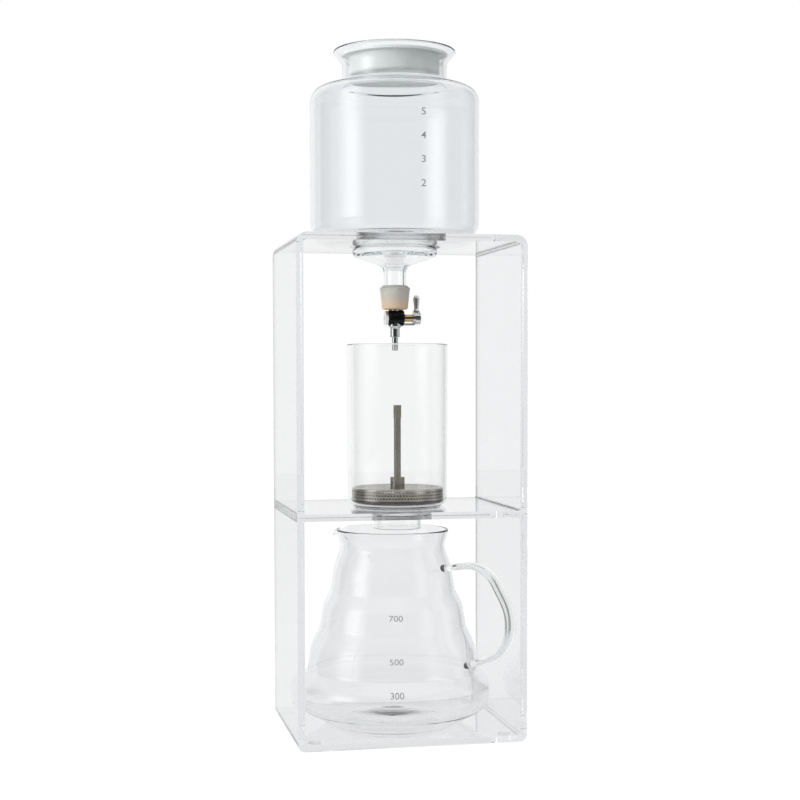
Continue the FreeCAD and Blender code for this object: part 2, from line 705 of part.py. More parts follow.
def lever_handle():
    """Teardrop lever, turned from chrome bar, with a pin that is pressed into the hub."""
    root = TAP_Z + HUB_RADIUS
    tip = TAP_Z + LEVER_HEIGHT
    waist = root + LEVER_WAIST_RISE
    handle = turned_polygon([
        (0, root - LEVER_PIN_DEPTH, 0),
        (LEVER_PIN_RADIUS, root - LEVER_PIN_DEPTH, 0),
        (LEVER_PIN_RADIUS, root, 0),
        (LEVER_FOOT_RADIUS, root, LEVER_FOOT_EDGE),
        (LEVER_WAIST_RADIUS, waist, LEVER_WAIST_ROUND),
        (LEVER_HEAD_RADIUS, tip - LEVER_HEAD_DROP, LEVER_HEAD_ROUND),
        (LEVER_TIP_RADIUS, tip, LEVER_TIP_ROUND),
        (0, tip, 0),
    ])
    handle.translate(Vector(LEVER_X, 0, 0))
    saddle = rod(HUB_RADIUS, Vector(HUB_X, 0, TAP_Z), Vector(HUB_X + HUB_LENGTH, 0, TAP_Z))
    pin = rod(LEVER_PIN_RADIUS, Vector(LEVER_X, 0, root - LEVER_PIN_DEPTH), Vector(LEVER_X, 0, root))
    return handle.cut(saddle.cut(pin))


def stop_pin():
    return rod(STOP_PIN_RADIUS, *stop_pin_ends())


# ---------------------------------------------------------------- lower bowl and filter

LOWER_FLOOR_Z = SHELF_Z + LOWER_WALL
LOWER_TUBE_END_Z = SHELF_Z - LOWER_TUBE_DEPTH
GASKET_RADIUS = LOWER_BASE_RADIUS - LOWER_WALL - FILTER_WALL_CLEARANCE
DRUM_RADIUS = GASKET_RADIUS - DRUM_SETBACK
DRUM_LOW_Z = LOWER_FLOOR_Z + GASKET_HEIGHT
DRUM_TOP_Z = DRUM_LOW_Z + DRUM_HEIGHT
MESH_LOW_Z = DRUM_TOP_Z - DRUM_SHEET - MESH_THICKNESS


def lower_bowl():
    """Coffee bowl: a tall glass with a wide outlet tube through its floor."""
    return vessel([
        (LOWER_TUBE_RADIUS, LOWER_TUBE_END_Z + LOWER_WALL / 2, 0),
        (LOWER_TUBE_RADIUS, SHELF_Z, LOWER_TUBE_ROOT_RADIUS),
        (LOWER_BASE_RADIUS, SHELF_Z, LOWER_CORNER_RADIUS),
        (LOWER_RIM_RADIUS, SHELF_Z + LOWER_HEIGHT - LOWER_WALL / 2, 0),
    ], LOWER_WALL)


def filter_gasket():
    """Soft ring that fills the corner of the bowl's floor under the drum."""
    inner = GASKET_RADIUS - GASKET_WIDTH
    heel = LOWER_CORNER_RADIUS - LOWER_WALL + FILTER_WALL_CLEARANCE
    return turned_polygon([
        (inner, LOWER_FLOOR_Z, 0),
        (GASKET_RADIUS, LOWER_FLOOR_Z, min(heel, GASKET_HEIGHT - GASKET_LAND)),
        (GASKET_RADIUS, DRUM_LOW_Z, 0),
        (inner, DRUM_LOW_Z, 0),
    ])


def top_holes():
    """Perforations of the drum's top, ring by ring outside the stem's collar."""
    radius = PERFORATION_DIAMETER / 2
    first = COLLAR_RADIUS + PERFORATION_MARGIN
    last = DRUM_RADIUS - DRUM_EDGE - PERFORATION_MARGIN
    rings = max(int((last - first) / PERFORATION_PITCH), 1)
    holes = []
    for ring in range(rings + 1):
        distance = first + (last - first) * ring / rings
        count = int(2 * math.pi * distance / PERFORATION_PITCH)
        for index in range(count):
            angle = 2 * math.pi * (index + 0.5 * (ring % 2)) / count
            place = Vector(distance * math.cos(angle), distance * math.sin(angle), DRUM_TOP_Z - DRUM_SHEET)
            holes.append(Part.makeCylinder(radius, DRUM_SHEET, place, UP))
    return holes


def skirt_holes():
    """Perforations round the drum's skirt."""
    radius = PERFORATION_DIAMETER / 2
    z = DRUM_LOW_Z + (DRUM_HEIGHT - DRUM_EDGE) / 2
    holes = []
    for index in range(SKIRT_HOLE_COUNT):
        angle = 2 * math.pi * index / SKIRT_HOLE_COUNT
        outwards = Vector(math.cos(angle), math.sin(angle), 0)
        start = outwards * (DRUM_RADIUS - 2 * DRUM_SHEET) + UP * z
        holes.append(Part.makeCylinder(radius, 3 * DRUM_SHEET, start, outwards))
    return holes


def filter_drum():
    """Inverted dish of perforated sheet, with a hole for the stem."""
    sheet = turned_polygon([
        (STEM_THREAD_RADIUS + STEM_FIT, DRUM_TOP_Z, 0),
        (DRUM_RADIUS, DRUM_TOP_Z, DRUM_EDGE),
        (DRUM_RADIUS, DRUM_LOW_Z, 0),
        (DRUM_RADIUS - DRUM_SHEET, DRUM_LOW_Z, 0),
        (DRUM_RADIUS - DRUM_SHEET, DRUM_TOP_Z - DRUM_SHEET, DRUM_EDGE - DRUM_SHEET),
        (STEM_THREAD_RADIUS + STEM_FIT, DRUM_TOP_Z - DRUM_SHEET, 0),
    ])
    return sheet.cut(top_holes() + skirt_holes())


def filter_mesh():
    """Fine mesh disc under the drum's top."""
    radius = DRUM_RADIUS - DRUM_EDGE - MESH_EDGE_CLEARANCE
    return tube(radius, STEM_THREAD_RADIUS + STEM_FIT, MESH_LOW_Z, MESH_LOW_Z + MESH_THICKNESS)


def stem_collar():
    top = DRUM_TOP_Z + COLLAR_HEIGHT
    bore = STEM_RADIUS + STEM_FIT
    return turned_polygon([
        (bore, DRUM_TOP_Z, 0),
        (COLLAR_RADIUS, DRUM_TOP_Z, 0),
        (COLLAR_RADIUS, top, COLLAR_EDGE),
        (bore, top, 0),
    ])


def filter_stem():
    """Rod that lifts the filter; its thread passes the drum and the mesh into the nut."""
    thread_end = DRUM_TOP_Z - STEM_THREAD_LENGTH
    top = DRUM_TOP_Z + STEM_HEIGHT - CAP_TOP
    return turned_polygon([
        (0, thread_end, 0),
        (STEM_THREAD_RADIUS, thread_end, STEM_THREAD_EDGE),
        (STEM_THREAD_RADIUS, DRUM_TOP_Z, 0),
        (STEM_RADIUS, DRUM_TOP_Z, 0),
        (STEM_RADIUS, top, STEM_EDGE),
        (0, top, 0),
    ])


def stem_cap():
    """Thin sleeve over the stem's upper end."""
    top = DRUM_TOP_Z + STEM_HEIGHT
    low = top - CAP_LENGTH
    bore = STEM_RADIUS + STEM_FIT
    outside = STEM_RADIUS + CAP_WALL
    return turned_polygon([
        (0, top, 0),
        (0, top - CAP_TOP, 0),
        (bore, top - CAP_TOP, 0),
        (bore, low, 0),
        (outside, low, 0),
        (outside, top, CAP_EDGE),
    ])


def clamp_nut():
    """Nut under the mesh that holds the stem to the drum."""
    low = MESH_LOW_Z - CLAMP_NUT_HEIGHT
    nut = prism(CLAMP_NUT_SIDES, CLAMP_NUT_RADIUS, low, MESH_LOW_Z)
    return nut.cut(rod(STEM_THREAD_RADIUS + STEM_FIT, Vector(0, 0, low), Vector(0, 0, MESH_LOW_Z)))


# ---------------------------------------------------------------- jug

JUG_RIM_Z = LOWER_TUBE_END_Z - JUG_RIM_GAP


def jug_outline():
    """Outside of the jug: a wide belly, three narrower bands stepped up from it, a neck and a mouth."""
    corners = [
        (0, JUG_PUNT_RISE, 0),
        (JUG_PUNT_RADIUS, JUG_PUNT_RISE, JUG_PUNT_ROUND),
        (JUG_PUNT_RADIUS + JUG_PUNT_ROUND, 0, JUG_PUNT_ROUND),
        (JUG_BASE_RADIUS, 0, JUG_BASE_ROUND),
        (JUG_BELLY_RADIUS, JUG_BELLY_LOW, JUG_BELLY_LOW_ROUND),
        (JUG_BELLY_RADIUS, JUG_BELLY_TOP, JUG_BELLY_TOP_ROUND),
    ]
    bands = zip(JUG_WAIST_RADII, JUG_WAIST_HEIGHTS, JUG_BAND_RADII, JUG_BAND_HEIGHTS)
    for waist, waist_height, band, band_height in bands:
        corners.append((waist, waist_height, JUG_WAIST_ROUND))
        corners.append((band, band_height, JUG_BAND_ROUND))
    corners.append((JUG_NECK_RADIUS, JUG_NECK_HEIGHT, JUG_NECK_ROUND))
    rise = JUG_RIM_Z - JUG_WALL - FLOOR_Z - JUG_NECK_HEIGHT
    flare = JUG_MOUTH_RADIUS - JUG_NECK_RADIUS
    slant = flare / math.hypot(flare, rise)
    # A slanting wall's rounded end reaches half a wall above its middle, which is above its outer edge.
    corners.append((JUG_MOUTH_RADIUS, JUG_RIM_Z - FLOOR_Z - JUG_WALL / 2 * (1 + slant), 0))
    return [(radius, FLOOR_Z + height, rounding) for radius, height, rounding in corners]


def spout(wall, rise):
    """A round beak that leaves the mouth and droops, thinned by a wall and moved up by a rise."""
    tip = Vector(SPOUT_REACH - SPOUT_TIP_RADIUS, 0, JUG_RIM_Z - SPOUT_DROP + rise)
    root = Vector(SPOUT_ROOT_REACH, 0, JUG_RIM_Z - SPOUT_ROOT_DROP + rise)
    root_radius = SPOUT_ROOT_RADIUS - wall
    tip_radius = SPOUT_TIP_RADIUS - wall
    cone = Part.makeCone(root_radius, tip_radius, root.distanceToPoint(tip), root, tip - root)
    beak = cone.fuse(Part.makeSphere(tip_radius, tip))
    beak.rotate(Vector(0, 0, 0), UP, SPOUT_ANGLE)
    return beak


def below_rim(shape, z):
    """The part of a shape under a level."""
    size = 4 * JUG_BELLY_RADIUS
    return shape.cut(Part.makeBox(size, size, size, Vector(-size / 2, -size / 2, z)))


def jug_hollow():
    """The jug's inside, a little past the rim, with the spout's inside."""
    inside = inner_corners(jug_outline(), JUG_WALL)
    top = inside[-1]
    inside.append((top[0], top[1] + JUG_WALL, 0))
    return filled(inside)


def jug_body():
    """Jug with a drooping beak joined to its rim; a channel along the beak opens into the mouth."""
    wall = turned(jug_wall_edges(jug_outline()))
    beak = below_rim(spout(0, 0), JUG_RIM_Z - JUG_WALL / 2)
    jug = wall.fuse(beak.cut(jug_hollow())).cut(spout(JUG_WALL, SPOUT_CHANNEL_RISE))
    return jug.removeSplitter()


def jug_wall_edges(outside):
    """Outline of the jug's wall: closed on the axis at the bottom, rounded at the rim."""
    inside = inner_corners(outside, JUG_WALL)
    inside[0] = (0, inside[0][1], 0)
    outer_end = Vector(outside[-1][0], 0, outside[-1][1])
    inner_end = Vector(inside[-1][0], 0, inside[-1][1])
    before = Vector(outside[-2][0], 0, outside[-2][1])
    edges = outline_edges(outside) + outline_edges(inside)
    edges.append(rounded_end(outer_end, inner_end, (outer_end - before).normalize()))
    edges.append(Part.makeLine(Vector(0, 0, outside[0][1]), Vector(0, 0, inside[0][1])))
    return edges


def handle_reach():
    """How far the handle's middle line stands from the jug's axis, with its side just clear of the panel."""
    turn = math.radians(HANDLE_ANGLE)
    half_span = math.hypot(HANDLE_THICKNESS / 2 * math.cos(turn), HANDLE_WIDTH / 2 * math.sin(turn))
    side = STAND_WIDTH / 2 - PANEL_THICKNESS - HANDLE_SIDE_CLEARANCE
    return (side - JUG_X - half_span) / math.cos(turn)


def handle_path():
    """Middle line of the handle, as distances from the jug's axis and heights above the table."""
    reach = handle_reach()
    corners = [
        (JUG_BAND_RADII[2] - HANDLE_ROOT_DEPTH, HANDLE_TOP_ROOT, 0),
        (reach - HANDLE_CREST_SETBACK, HANDLE_CREST_HEIGHT, HANDLE_CREST_ROUND),
        (reach, HANDLE_KNEE_HEIGHT, HANDLE_KNEE_ROUND),
        (reach, HANDLE_HEEL_HEIGHT, HANDLE_HEEL_ROUND),
        (JUG_BAND_RADII[0] - HANDLE_ROOT_DEPTH, HANDLE_BASE_ROOT, 0),
    ]
    return [(out, FLOOR_Z + height, rounding) for out, height, rounding in corners]


def jug_handle():
    """Flattened glass strap, bent in the upright plane through the jug's axis."""
    path = handle_path()
    start = Vector(path[0][0], 0, path[0][1])
    ahead = Vector(path[1][0], 0, path[1][1]) - start
    section = Part.Wire(Part.Ellipse(Vector(0, 0, 0), HANDLE_WIDTH / 2, HANDLE_THICKNESS / 2).toShape())
    section.rotate(Vector(0, 0, 0), UP, 90)
    section.rotate(Vector(0, 0, 0), ALONG_Y, 90 - math.degrees(math.atan2(ahead.z, ahead.x)))
    section.translate(start)
    strap = Part.Wire(outline_edges(path)).makePipeShell([section], True, True)
    strap = strap.cut(filled(jug_outline()))
    strap.rotate(Vector(0, 0, 0), UP, HANDLE_ANGLE)
    return strap


def pieces():
    """Every node of the tower by name, with each standing group moved to its own place along X."""
    made = stand_panels()
    groups = (
        (0, (shelf_panel, bumper_feet)),
        (UPPER_BOWL_X, (
            lid_cap, upper_bowl, bowl_funnel, bowl_outlet_tube, silicone_stopper,
            tap_body, tap_inlet_tube, drip_tube, drip_tip, stop_pin,
            tap_plug, tap_washer, tap_spring_washer, retaining_nut, lever_hub, lever_handle,
        )),
        (LOWER_BOWL_X, (
            lower_bowl, filter_gasket, filter_drum, filter_mesh, stem_collar, filter_stem, stem_cap,
            clamp_nut,
        )),
        (JUG_X, (jug_body, jug_handle)),
    )
    for offset, makers in groups:
        for maker in makers:
            made[maker.__name__] = maker().translated(Vector(offset, 0, 0))
    return made


def main():
    os.makedirs("parts", exist_ok=True)
    for name, shape in pieces().items():
        shape.exportStep(f"parts/{name}.step")
        box = shape.optimalBoundingBox()
        print(f"{name:18s} solids {len(shape.Solids)} valid {shape.isValid()} volume {shape.Volume:10.1f}"
              f"  x {box.XMin:.1f}..{box.XMax:.1f} y {box.YMin:.1f}..{box.YMax:.1f}"
              f" z {box.ZMin:.1f}..{box.ZMax:.1f}")


main()
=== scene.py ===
# %% The frame
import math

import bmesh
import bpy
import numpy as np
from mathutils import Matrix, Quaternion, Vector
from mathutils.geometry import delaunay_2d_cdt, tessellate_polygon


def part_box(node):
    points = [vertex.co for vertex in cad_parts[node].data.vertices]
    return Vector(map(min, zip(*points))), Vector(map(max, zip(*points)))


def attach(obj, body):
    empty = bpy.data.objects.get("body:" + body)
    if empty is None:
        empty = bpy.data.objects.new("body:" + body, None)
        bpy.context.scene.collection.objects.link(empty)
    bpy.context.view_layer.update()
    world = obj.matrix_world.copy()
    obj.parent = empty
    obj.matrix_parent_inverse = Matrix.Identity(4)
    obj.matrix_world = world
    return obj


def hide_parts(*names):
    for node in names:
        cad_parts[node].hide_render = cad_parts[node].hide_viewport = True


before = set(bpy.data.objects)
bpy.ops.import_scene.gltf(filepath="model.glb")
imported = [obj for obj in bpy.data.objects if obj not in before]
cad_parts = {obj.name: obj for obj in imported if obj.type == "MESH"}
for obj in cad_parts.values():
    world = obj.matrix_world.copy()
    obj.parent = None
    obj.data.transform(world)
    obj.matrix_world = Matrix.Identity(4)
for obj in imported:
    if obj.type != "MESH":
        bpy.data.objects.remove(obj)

# %% [markdown]
# # A cold drip coffee tower
#
# Water drips from a glass bowl through a small tap on to ground coffee in a second bowl, and the
# coffee drips on into a jug. All three stand in an open case of clear acrylic. Nearly everything
# here is clear, so the lesson is about glass: its thickness, its colour at the edges and what it
# shows of the room. The solids of the frame give every place and size, and stay where they are.

MM = 0.001
DEGREE = math.pi / 180
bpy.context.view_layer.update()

# %% [markdown]
# ## Shader sums in plain Python
#
# A finish is often a sum of patterns. Blender wants a Math node for every plus and times, so one
# small class wraps a socket and lets Python's own operators add those nodes.


# %% A socket that can be added and multiplied
class Value:
    """One output of a node tree. Each operator adds the Math node of that name."""

    def __init__(self, tree, socket):
        self.tree = tree
        self.socket = socket

    def math(self, operation, *others):
        return self.tree.add("ShaderNodeMath", {"operation": operation}, dict(enumerate((self, *others))))

    def __add__(self, other):
        return self.math("ADD", other)

    def __sub__(self, other):
        return self.math("SUBTRACT", other)

    def __rsub__(self, other):
        return self.tree.add("ShaderNodeMath", {"operation": "SUBTRACT"}, {0: other, 1: self})

    def __mul__(self, other):
        return self.math("MULTIPLY", other)

    def __truediv__(self, other):
        return self.math("DIVIDE", other)

    def __abs__(self):
        return self.math("ABSOLUTE")

    __radd__ = __add__
    __rmul__ = __mul__

    def clamped(self):
        """The value held between 0 and 1."""
        return self.tree.add("ShaderNodeClamp", {}, {"Value": self})


class Tree:
    """The node tree of a material or a world, emptied and built up again."""

    def __init__(self, owner):
        owner.use_nodes = True
        self.nodes = owner.node_tree.nodes
        self.links = owner.node_tree.links
        self.nodes.clear()

    def add(self, kind, settings=None, inputs=None, output=0):
        """Any node: its settings are made first, then each input takes a number, a colour or a link."""
        node = self.nodes.new(kind)
        for name, setting in (settings or {}).items():
            setattr(node, name, setting)
        for name, given in (inputs or {}).items():
            if isinstance(given, Value):
                self.links.new(given.socket, node.inputs[name])
            else:
                node.inputs[name].default_value = given
        return Value(self, node.outputs[output] if node.outputs else None)

    def blend(self, share, first, second):
        """A colour that goes from the first to the second as the share goes from 0 to 1.

        A Mix node holds its sockets for every kind of value; those of colours are 6, 7 and output 2.
        """
        return self.add("ShaderNodeMix", {"data_type": "RGBA"}, {0: share, 6: first, 7: second}, 2)

    def place(self, stretch=(1, 1, 1)):
        """Object coordinates, stretched along each axis."""
        here = self.add("ShaderNodeTexCoord", output=3)
        return self.add("ShaderNodeMapping", {"vector_type": "POINT"}, {"Vector": here, "Scale": stretch})

    def from_axis(self):
        """Distance from the upright axis, in metres."""
        return self.add("ShaderNodeVectorMath", {"operation": "LENGTH"}, {0: self.place((1, 1, 0))}, 1)

    def height(self):
        """Height above the table, in metres."""
        return self.add("ShaderNodeSeparateXYZ", {}, {0: self.place()}, 2)

    def noise(self, size, detail=2.0, stretch=(1, 1, 1)):
        """Cloudy noise whose patches are about one size across, in metres."""
        return self.add("ShaderNodeTexNoise", {}, {
            "Vector": self.place(stretch), "Scale": 1 / size, "Detail": detail})

    def bump(self, height, depth):
        """A surface direction that follows a height pattern, whose full range is a depth in metres."""
        return self.add("ShaderNodeBump", {}, {"Strength": 1.0, "Distance": depth, "Height": height})


def colour(red, green, blue):
    return (red, green, blue, 1.0)


def finish(name, volume=None, build=None, **inputs):
    """A material of one Principled shader: build makes what varies, volume is (density, colour) inside."""
    material = bpy.data.materials.new(name)
    tree = Tree(material)
    if build:
        inputs.update(build(tree))
    named = {key.replace("_", " "): value for key, value in inputs.items()}
    outputs = {"Surface": tree.add("ShaderNodeBsdfPrincipled", {}, named)}
    if volume:
        absorbed = dict(zip(("Density", "Color"), volume))
        outputs["Volume"] = tree.add("ShaderNodeVolumeAbsorption", {}, absorbed)
    tree.add("ShaderNodeOutputMaterial", {}, outputs)
    print("finish", name)
    return material


# %% [markdown]
# ## Glass and acrylic
#
# Clear things are seen by what they take away. The light that crosses a wall loses a little in
# each millimetre, so a wall seen edge on is darker and tinted, and a volume that absorbs gives
# that by itself from every side. Blown glass also has faint waves, which bend the reflections.
# Acrylic is flat and polished, and only the sawn walls of its holes are matt.

# %% Clear finishes
BLOWN_INDEX = 1.47
ACRYLIC_INDEX = 1.49
UNTINTED = colour(1, 1, 1)
JUG_TINT = colour(0.94, 0.945, 0.95)
TINT_FADE = 4 * MM


def blown(name, density, inside, wave=1.6e-5, low=UNTINTED, high=UNTINTED, change=(0, 1)):
    """Blown glass: faint waves on its surface, a volume that absorbs, and a tint for low and for high."""
    def surface(tree):
        waves = tree.noise(0.022, 1.0, (1, 1, 0.45))
        share = ((tree.height() - change[0]) / (change[1] - change[0])).clamped()
        return {"Normal": tree.bump(waves, wave), "Base Color": tree.blend(share, low, high)}
    return finish(name, (density, inside), surface, Roughness=0.0, IOR=BLOWN_INDEX, Transmission_Weight=1.0)


top_of_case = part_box("top_panel")[1][2]
bowl_glass = blown("bowl_glass", 22.0, colour(0.70, 0.75, 0.77), low=colour(0.995, 1, 1),
                   high=colour(0.925, 0.935, 0.945), change=(top_of_case - TINT_FADE, top_of_case))
coffee_bowl_glass = blown("coffee_bowl_glass", 20.0, colour(0.70, 0.78, 0.79))
jug_glass = blown("jug_glass", 12.0, colour(0.70, 0.75, 0.765), 3.0e-5, JUG_TINT, JUG_TINT)
handle_glass = blown("handle_glass", 14.0, colour(0.55, 0.66, 0.6))

# %% [markdown]
# ## Metal, plastic and silicone
#
# Each of these has its own wear. Chrome carries smudges that dull its polish in patches, drawn
# steel has hairlines along its length, moulded plastic has a fine grain, and the silicone is
# cloudy, with a painted warm glow at its bottom for the light that shines through it.


# %% Opaque finishes
def smudged(tree):
    """Polish dulled in soft patches, with finer specks."""
    patches = tree.noise(0.004, 3.0)
    return {"Roughness": 0.04 + patches * 0.10, "Normal": tree.bump(tree.noise(0.0012), 4e-6)}


def uneven(size, detail, rough, depth=0, tones=(), stretch=(1, 1, 1)):
    """A build of one noise n: roughness is rough[0] + n rough[1], with a bump or two tones by n."""
    def build(tree):
        pattern = tree.noise(size, detail, stretch)
        made = {"Roughness": rough[0] + pattern * rough[1]}
        if depth:
            made["Normal"] = tree.bump(pattern, depth)
        if tones:
            made["Base Color"] = tree.blend(pattern, *tones)
        return made
    return build


def stained(tree):
    """Filter steel, browned in patches by use."""
    patches = (tree.noise(0.010, 4.0) * 1.6 - 0.4).clamped()
    lines = tree.noise(0.0012, 3.0, (1, 1, 6))
    tone = tree.blend(patches, colour(0.24, 0.225, 0.185), colour(0.36, 0.34, 0.28))
    return {"Base Color": tone, "Roughness": 0.12 + lines * 0.12, "Normal": tree.bump(lines, 8e-6)}


def perforated(tree):
    """The drum's sheet, brighter than the rest: its holes leave a bright net."""
    patches = (tree.noise(0.012, 3.0) * 1.6 - 0.4).clamped()
    return {"Base Color": tree.blend(patches, colour(0.36, 0.34, 0.29), colour(0.54, 0.51, 0.45)),
            "Roughness": 0.14 + patches * 0.12}


def cloudy(tree):
    """Silicone: grey-cream clouds, over a painted warm glow of light through it at the bottom."""
    clouds = tree.noise(0.006, 3.0)
    low, high = (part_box("silicone_stopper")[end][2] for end in (0, 1))
    # Painted glow: warm tan at the bottom for light shining through the silicone, fading into the grey clouds
    # by two thirds of the height.
    rise = ((tree.height() - low) / (high - low) * 1.5).clamped()
    grey = tree.blend(clouds, colour(0.38, 0.38, 0.36), colour(0.48, 0.47, 0.43))
    tone = tree.blend(rise, colour(0.60, 0.43, 0.29), grey)
    return {"Base Color": tone, "Roughness": 0.42 + clouds * 0.12,
            "Normal": tree.bump(tree.noise(0.0008), 1e-5)}


# Hairlines round turned steel, cloth painted dark with the shade under the drum's holes, the grain of
# black plastic, a gasket worn paler in patches, the slight wave of the lid's moulding and print of
# uneven density.
brushed = uneven(0.0016, 4.0, (0.08, 0.12), 6e-6, stretch=(1, 1, 9))
# The cloth's two dark tones follow its threads; their darkness is painted shade from the drum above it.
weave_and_painted_shade = uneven(0.0004, 2.0, (0.45, 0.2), tones=(colour(0.06, 0.054, 0.045), colour(0.13, 0.12, 0.10)))
moulded = uneven(0.0006, 3.0, (0.16, 0.12), 4e-6)
pressed = uneven(0.005, 3.0, (0.10, 0.10), tones=(colour(0.020, 0.010, 0.008), colour(0.050, 0.026, 0.018)))
satin = uneven(0.03, 1.0, (0.22, 0.10), 3e-5, stretch=(1, 1, 0.2))
printed = uneven(0.0005, 3.0, (0.5, 0.2), tones=(colour(0.20, 0.21, 0.21), colour(0.28, 0.29, 0.29)))

chrome_plate = finish("chrome_plate", Base_Color=colour(0.80, 0.80, 0.80), Metallic=1.0, build=smudged)
drawn_steel = finish("drawn_steel", Base_Color=colour(0.66, 0.67, 0.66), Metallic=1.0, build=brushed)
filter_steel = finish("filter_steel", Metallic=1.0, build=stained)
fine_mesh_painted_shade = finish("fine_mesh_painted_shade", build=weave_and_painted_shade)
drum_steel = finish("drum_steel", Metallic=1.0, build=perforated)
brass = finish("brass", Base_Color=colour(0.62, 0.48, 0.28), Metallic=1.0, build=smudged)
# Black for the tap's washers; on the tap body, which is chrome, the same black is a painted dark reflection.
black_plastic = finish("black_plastic", Base_Color=colour(0.003, 0.003, 0.003), IOR=1.33, build=moulded)
# The silicone finish carries the painted warm glow at the stopper's bottom.
silicone = finish("silicone", build=cloudy, Subsurface_Weight=0.35, Subsurface_Radius=(0.006, 0.0035, 0.002),
                  Subsurface_Scale=1.0)
gasket_silicone = finish("gasket_silicone", build=pressed)
lid_plastic = finish("lid_plastic", Base_Color=colour(0.80, 0.83, 0.815), build=satin)
scale_print = finish("scale_print", build=printed)
foot_pad = finish("foot_pad", Base_Color=colour(0.93, 0.94, 0.94), Transmission_Weight=0.9, build=moulded)

# %% [markdown]
# ## Outlines
#
# A glass blower's shape is a line turned round an axis. The line has few corners, and each has a
# round, so an outline is written as corners (radius, height, round) and the arcs are worked out.
# The inside of a wall is the same line moved inwards, with every round keeping its centre.

# %% Outlines with rounds
ARC_STEP = 5 * DEGREE
ROUND_ROOM = 0.98
GUARD = 0.4 * MM


def unit(vector):
    return vector / np.linalg.norm(vector)


def rounded(corners):
    """Points along straight runs through corners (a, b, round), with a tangent arc at each round.

    An arc touches its runs at radius / tan(half the corner's angle) from the corner, or nearer
    where a run is too short. Its points are centre + radius (cos t, sin t) for even steps of t.
    """
    spots = np.array([corner[:2] for corner in corners], float)
    line = [spots[0]]
    for index in range(1, len(spots) - 1):
        corner, start, after = spots[index], line[-1], spots[index + 1]
        back, ahead = unit(spots[index - 1] - corner), unit(after - corner)
        half = math.acos(max(-1.0, min(1.0, back @ ahead))) / 2
        if len(corners[index]) < 3 or corners[index][2] <= 0 or half > math.pi / 2 - 1e-4:
            line.append(corner)
            continue
        room = min(np.linalg.norm(start - corner), np.linalg.norm(after - corner))
        reach = min(corners[index][2] / math.tan(half), ROUND_ROOM * room)
        radius = reach * math.tan(half)
        centre = corner + unit(back + ahead) * radius / math.sin(half)
        first = corner + back * reach - centre
        last = corner + ahead * reach - centre
        turn = math.atan2(first[0] * last[1] - first[1] * last[0], first @ last)
        steps = max(3, math.ceil(abs(turn) / ARC_STEP - 1e-6))
        angles = math.atan2(first[1], first[0]) + turn * np.linspace(0, 1, steps + 1)
        line.extend(centre + radius * np.column_stack([np.cos(angles), np.sin(angles)]))
    line.append(spots[-1])
    return np.array(line)


def thickened(corners, wall):
    """The outline moved to the left of its direction by the wall."""
    spots = np.array([corner[:2] for corner in corners], float)
    runs = np.diff(spots, axis=0)
    runs /= np.linalg.norm(runs, axis=1, keepdims=True)
    sides = np.column_stack([-runs[:, 1], runs[:, 0]]) * wall
    turns = runs[:-1, 0] * runs[1:, 1] - runs[:-1, 1] * runs[1:, 0]
    along = (1 - (runs[:-1] * runs[1:]).sum(1)) / turns * wall
    middle = spots[1:-1] + sides[:-1] - runs[:-1] * along[:, None]
    moved = np.vstack([spots[0] + sides[0], middle, spots[-1] + sides[-1]])
    rounds = [corner[2] if len(corner) > 2 else 0 for corner in corners]
    grown = [max(r - math.copysign(wall, t), 0.2 * MM) if r else 0 for r, t in zip(rounds[1:-1], turns)]
    return [(*spot, r) for spot, r in zip(moved, [0, *grown, 0])]


def half_round(start, end, steps=10):
    """Points of the half circle that bulges to the left of the way from end to start."""
    middle, reach = (start + end) / 2, (start - end) / 2
    side = np.array([-reach[1], reach[0]])
    angles = np.linspace(0, math.pi, steps + 1)[1:-1, None]
    return middle + reach * np.cos(angles) + side * np.sin(angles)


def wall_loop(outside, inside):
    """Closed loop of a wall: up its outside and back down its inside, with a half round at each end."""
    back = inside[::-1]
    return np.vstack([outside, half_round(outside[-1], back[0]), back, half_round(back[-1], outside[0])])


def guarded(loop):
    """A loop whose long runs get a point close to each end, so that smooth shading stays flat there."""
    ahead = np.roll(loop, -1, axis=0) - loop
    length = np.linalg.norm(ahead, axis=1)
    line = []
    for point, run, reach in zip(loop, ahead, length):
        line.append(point)
        if reach > 6 * GUARD:
            line.extend([point + run * GUARD / reach, point + run * (1 - GUARD / reach)])
    return np.array(line)


# %% [markdown]
# ## Surfaces from arrays
#
# A turned surface is a grid: one way along the outline, the other way round the axis. All its
# points are worked out at once, and neighbouring rows and columns are joined by quads.

# %% Meshes from arrays
TURN_STEPS = 224


def grid_faces(rows, columns, closed_rows=False):
    """Quads (i, j), (i, j + 1), (i + 1, j + 1), (i + 1, j) of a grid of points numbered row by row."""
    i = np.arange(rows if closed_rows else rows - 1)[:, None]
    j = np.arange(columns)[None, :]
    below, right = (i + 1) % rows, (j + 1) % columns
    corners = [i * columns + j, i * columns + right, below * columns + right, below * columns + j]
    return np.stack(corners, -1).reshape(-1, 4)


def end_fans(rows, columns, first, last):
    """Triangles that join a point before the first row, and one after the last, to all of that row."""
    j = np.arange(columns)
    right, end = (j + 1) % columns, (rows - 1) * columns
    return np.vstack([np.column_stack([np.full(columns, first), right, j]),
                      np.column_stack([end + j, end + right, np.full(columns, last)])])


def new_mesh(name, points, *face_sets):
    """A mesh of an (n, 3) array of points and arrays of faces, one array for each number of corners."""
    mesh = bpy.data.meshes.new(name)
    corners = np.concatenate([faces.ravel() for faces in face_sets]).astype(np.int32)
    counts = np.concatenate([np.full(len(faces), faces.shape[1]) for faces in face_sets])
    starts = (np.cumsum(counts) - counts).astype(np.int32)
    mesh.vertices.add(len(points))
    mesh.vertices.foreach_set("co", np.ascontiguousarray(points, np.float32).ravel())
    mesh.loops.add(len(corners))
    mesh.loops.foreach_set("vertex_index", corners)
    mesh.polygons.add(len(counts))
    mesh.polygons.foreach_set("loop_start", starts)
    mesh.update(calc_edges=True)
    mesh.validate()
    return mesh


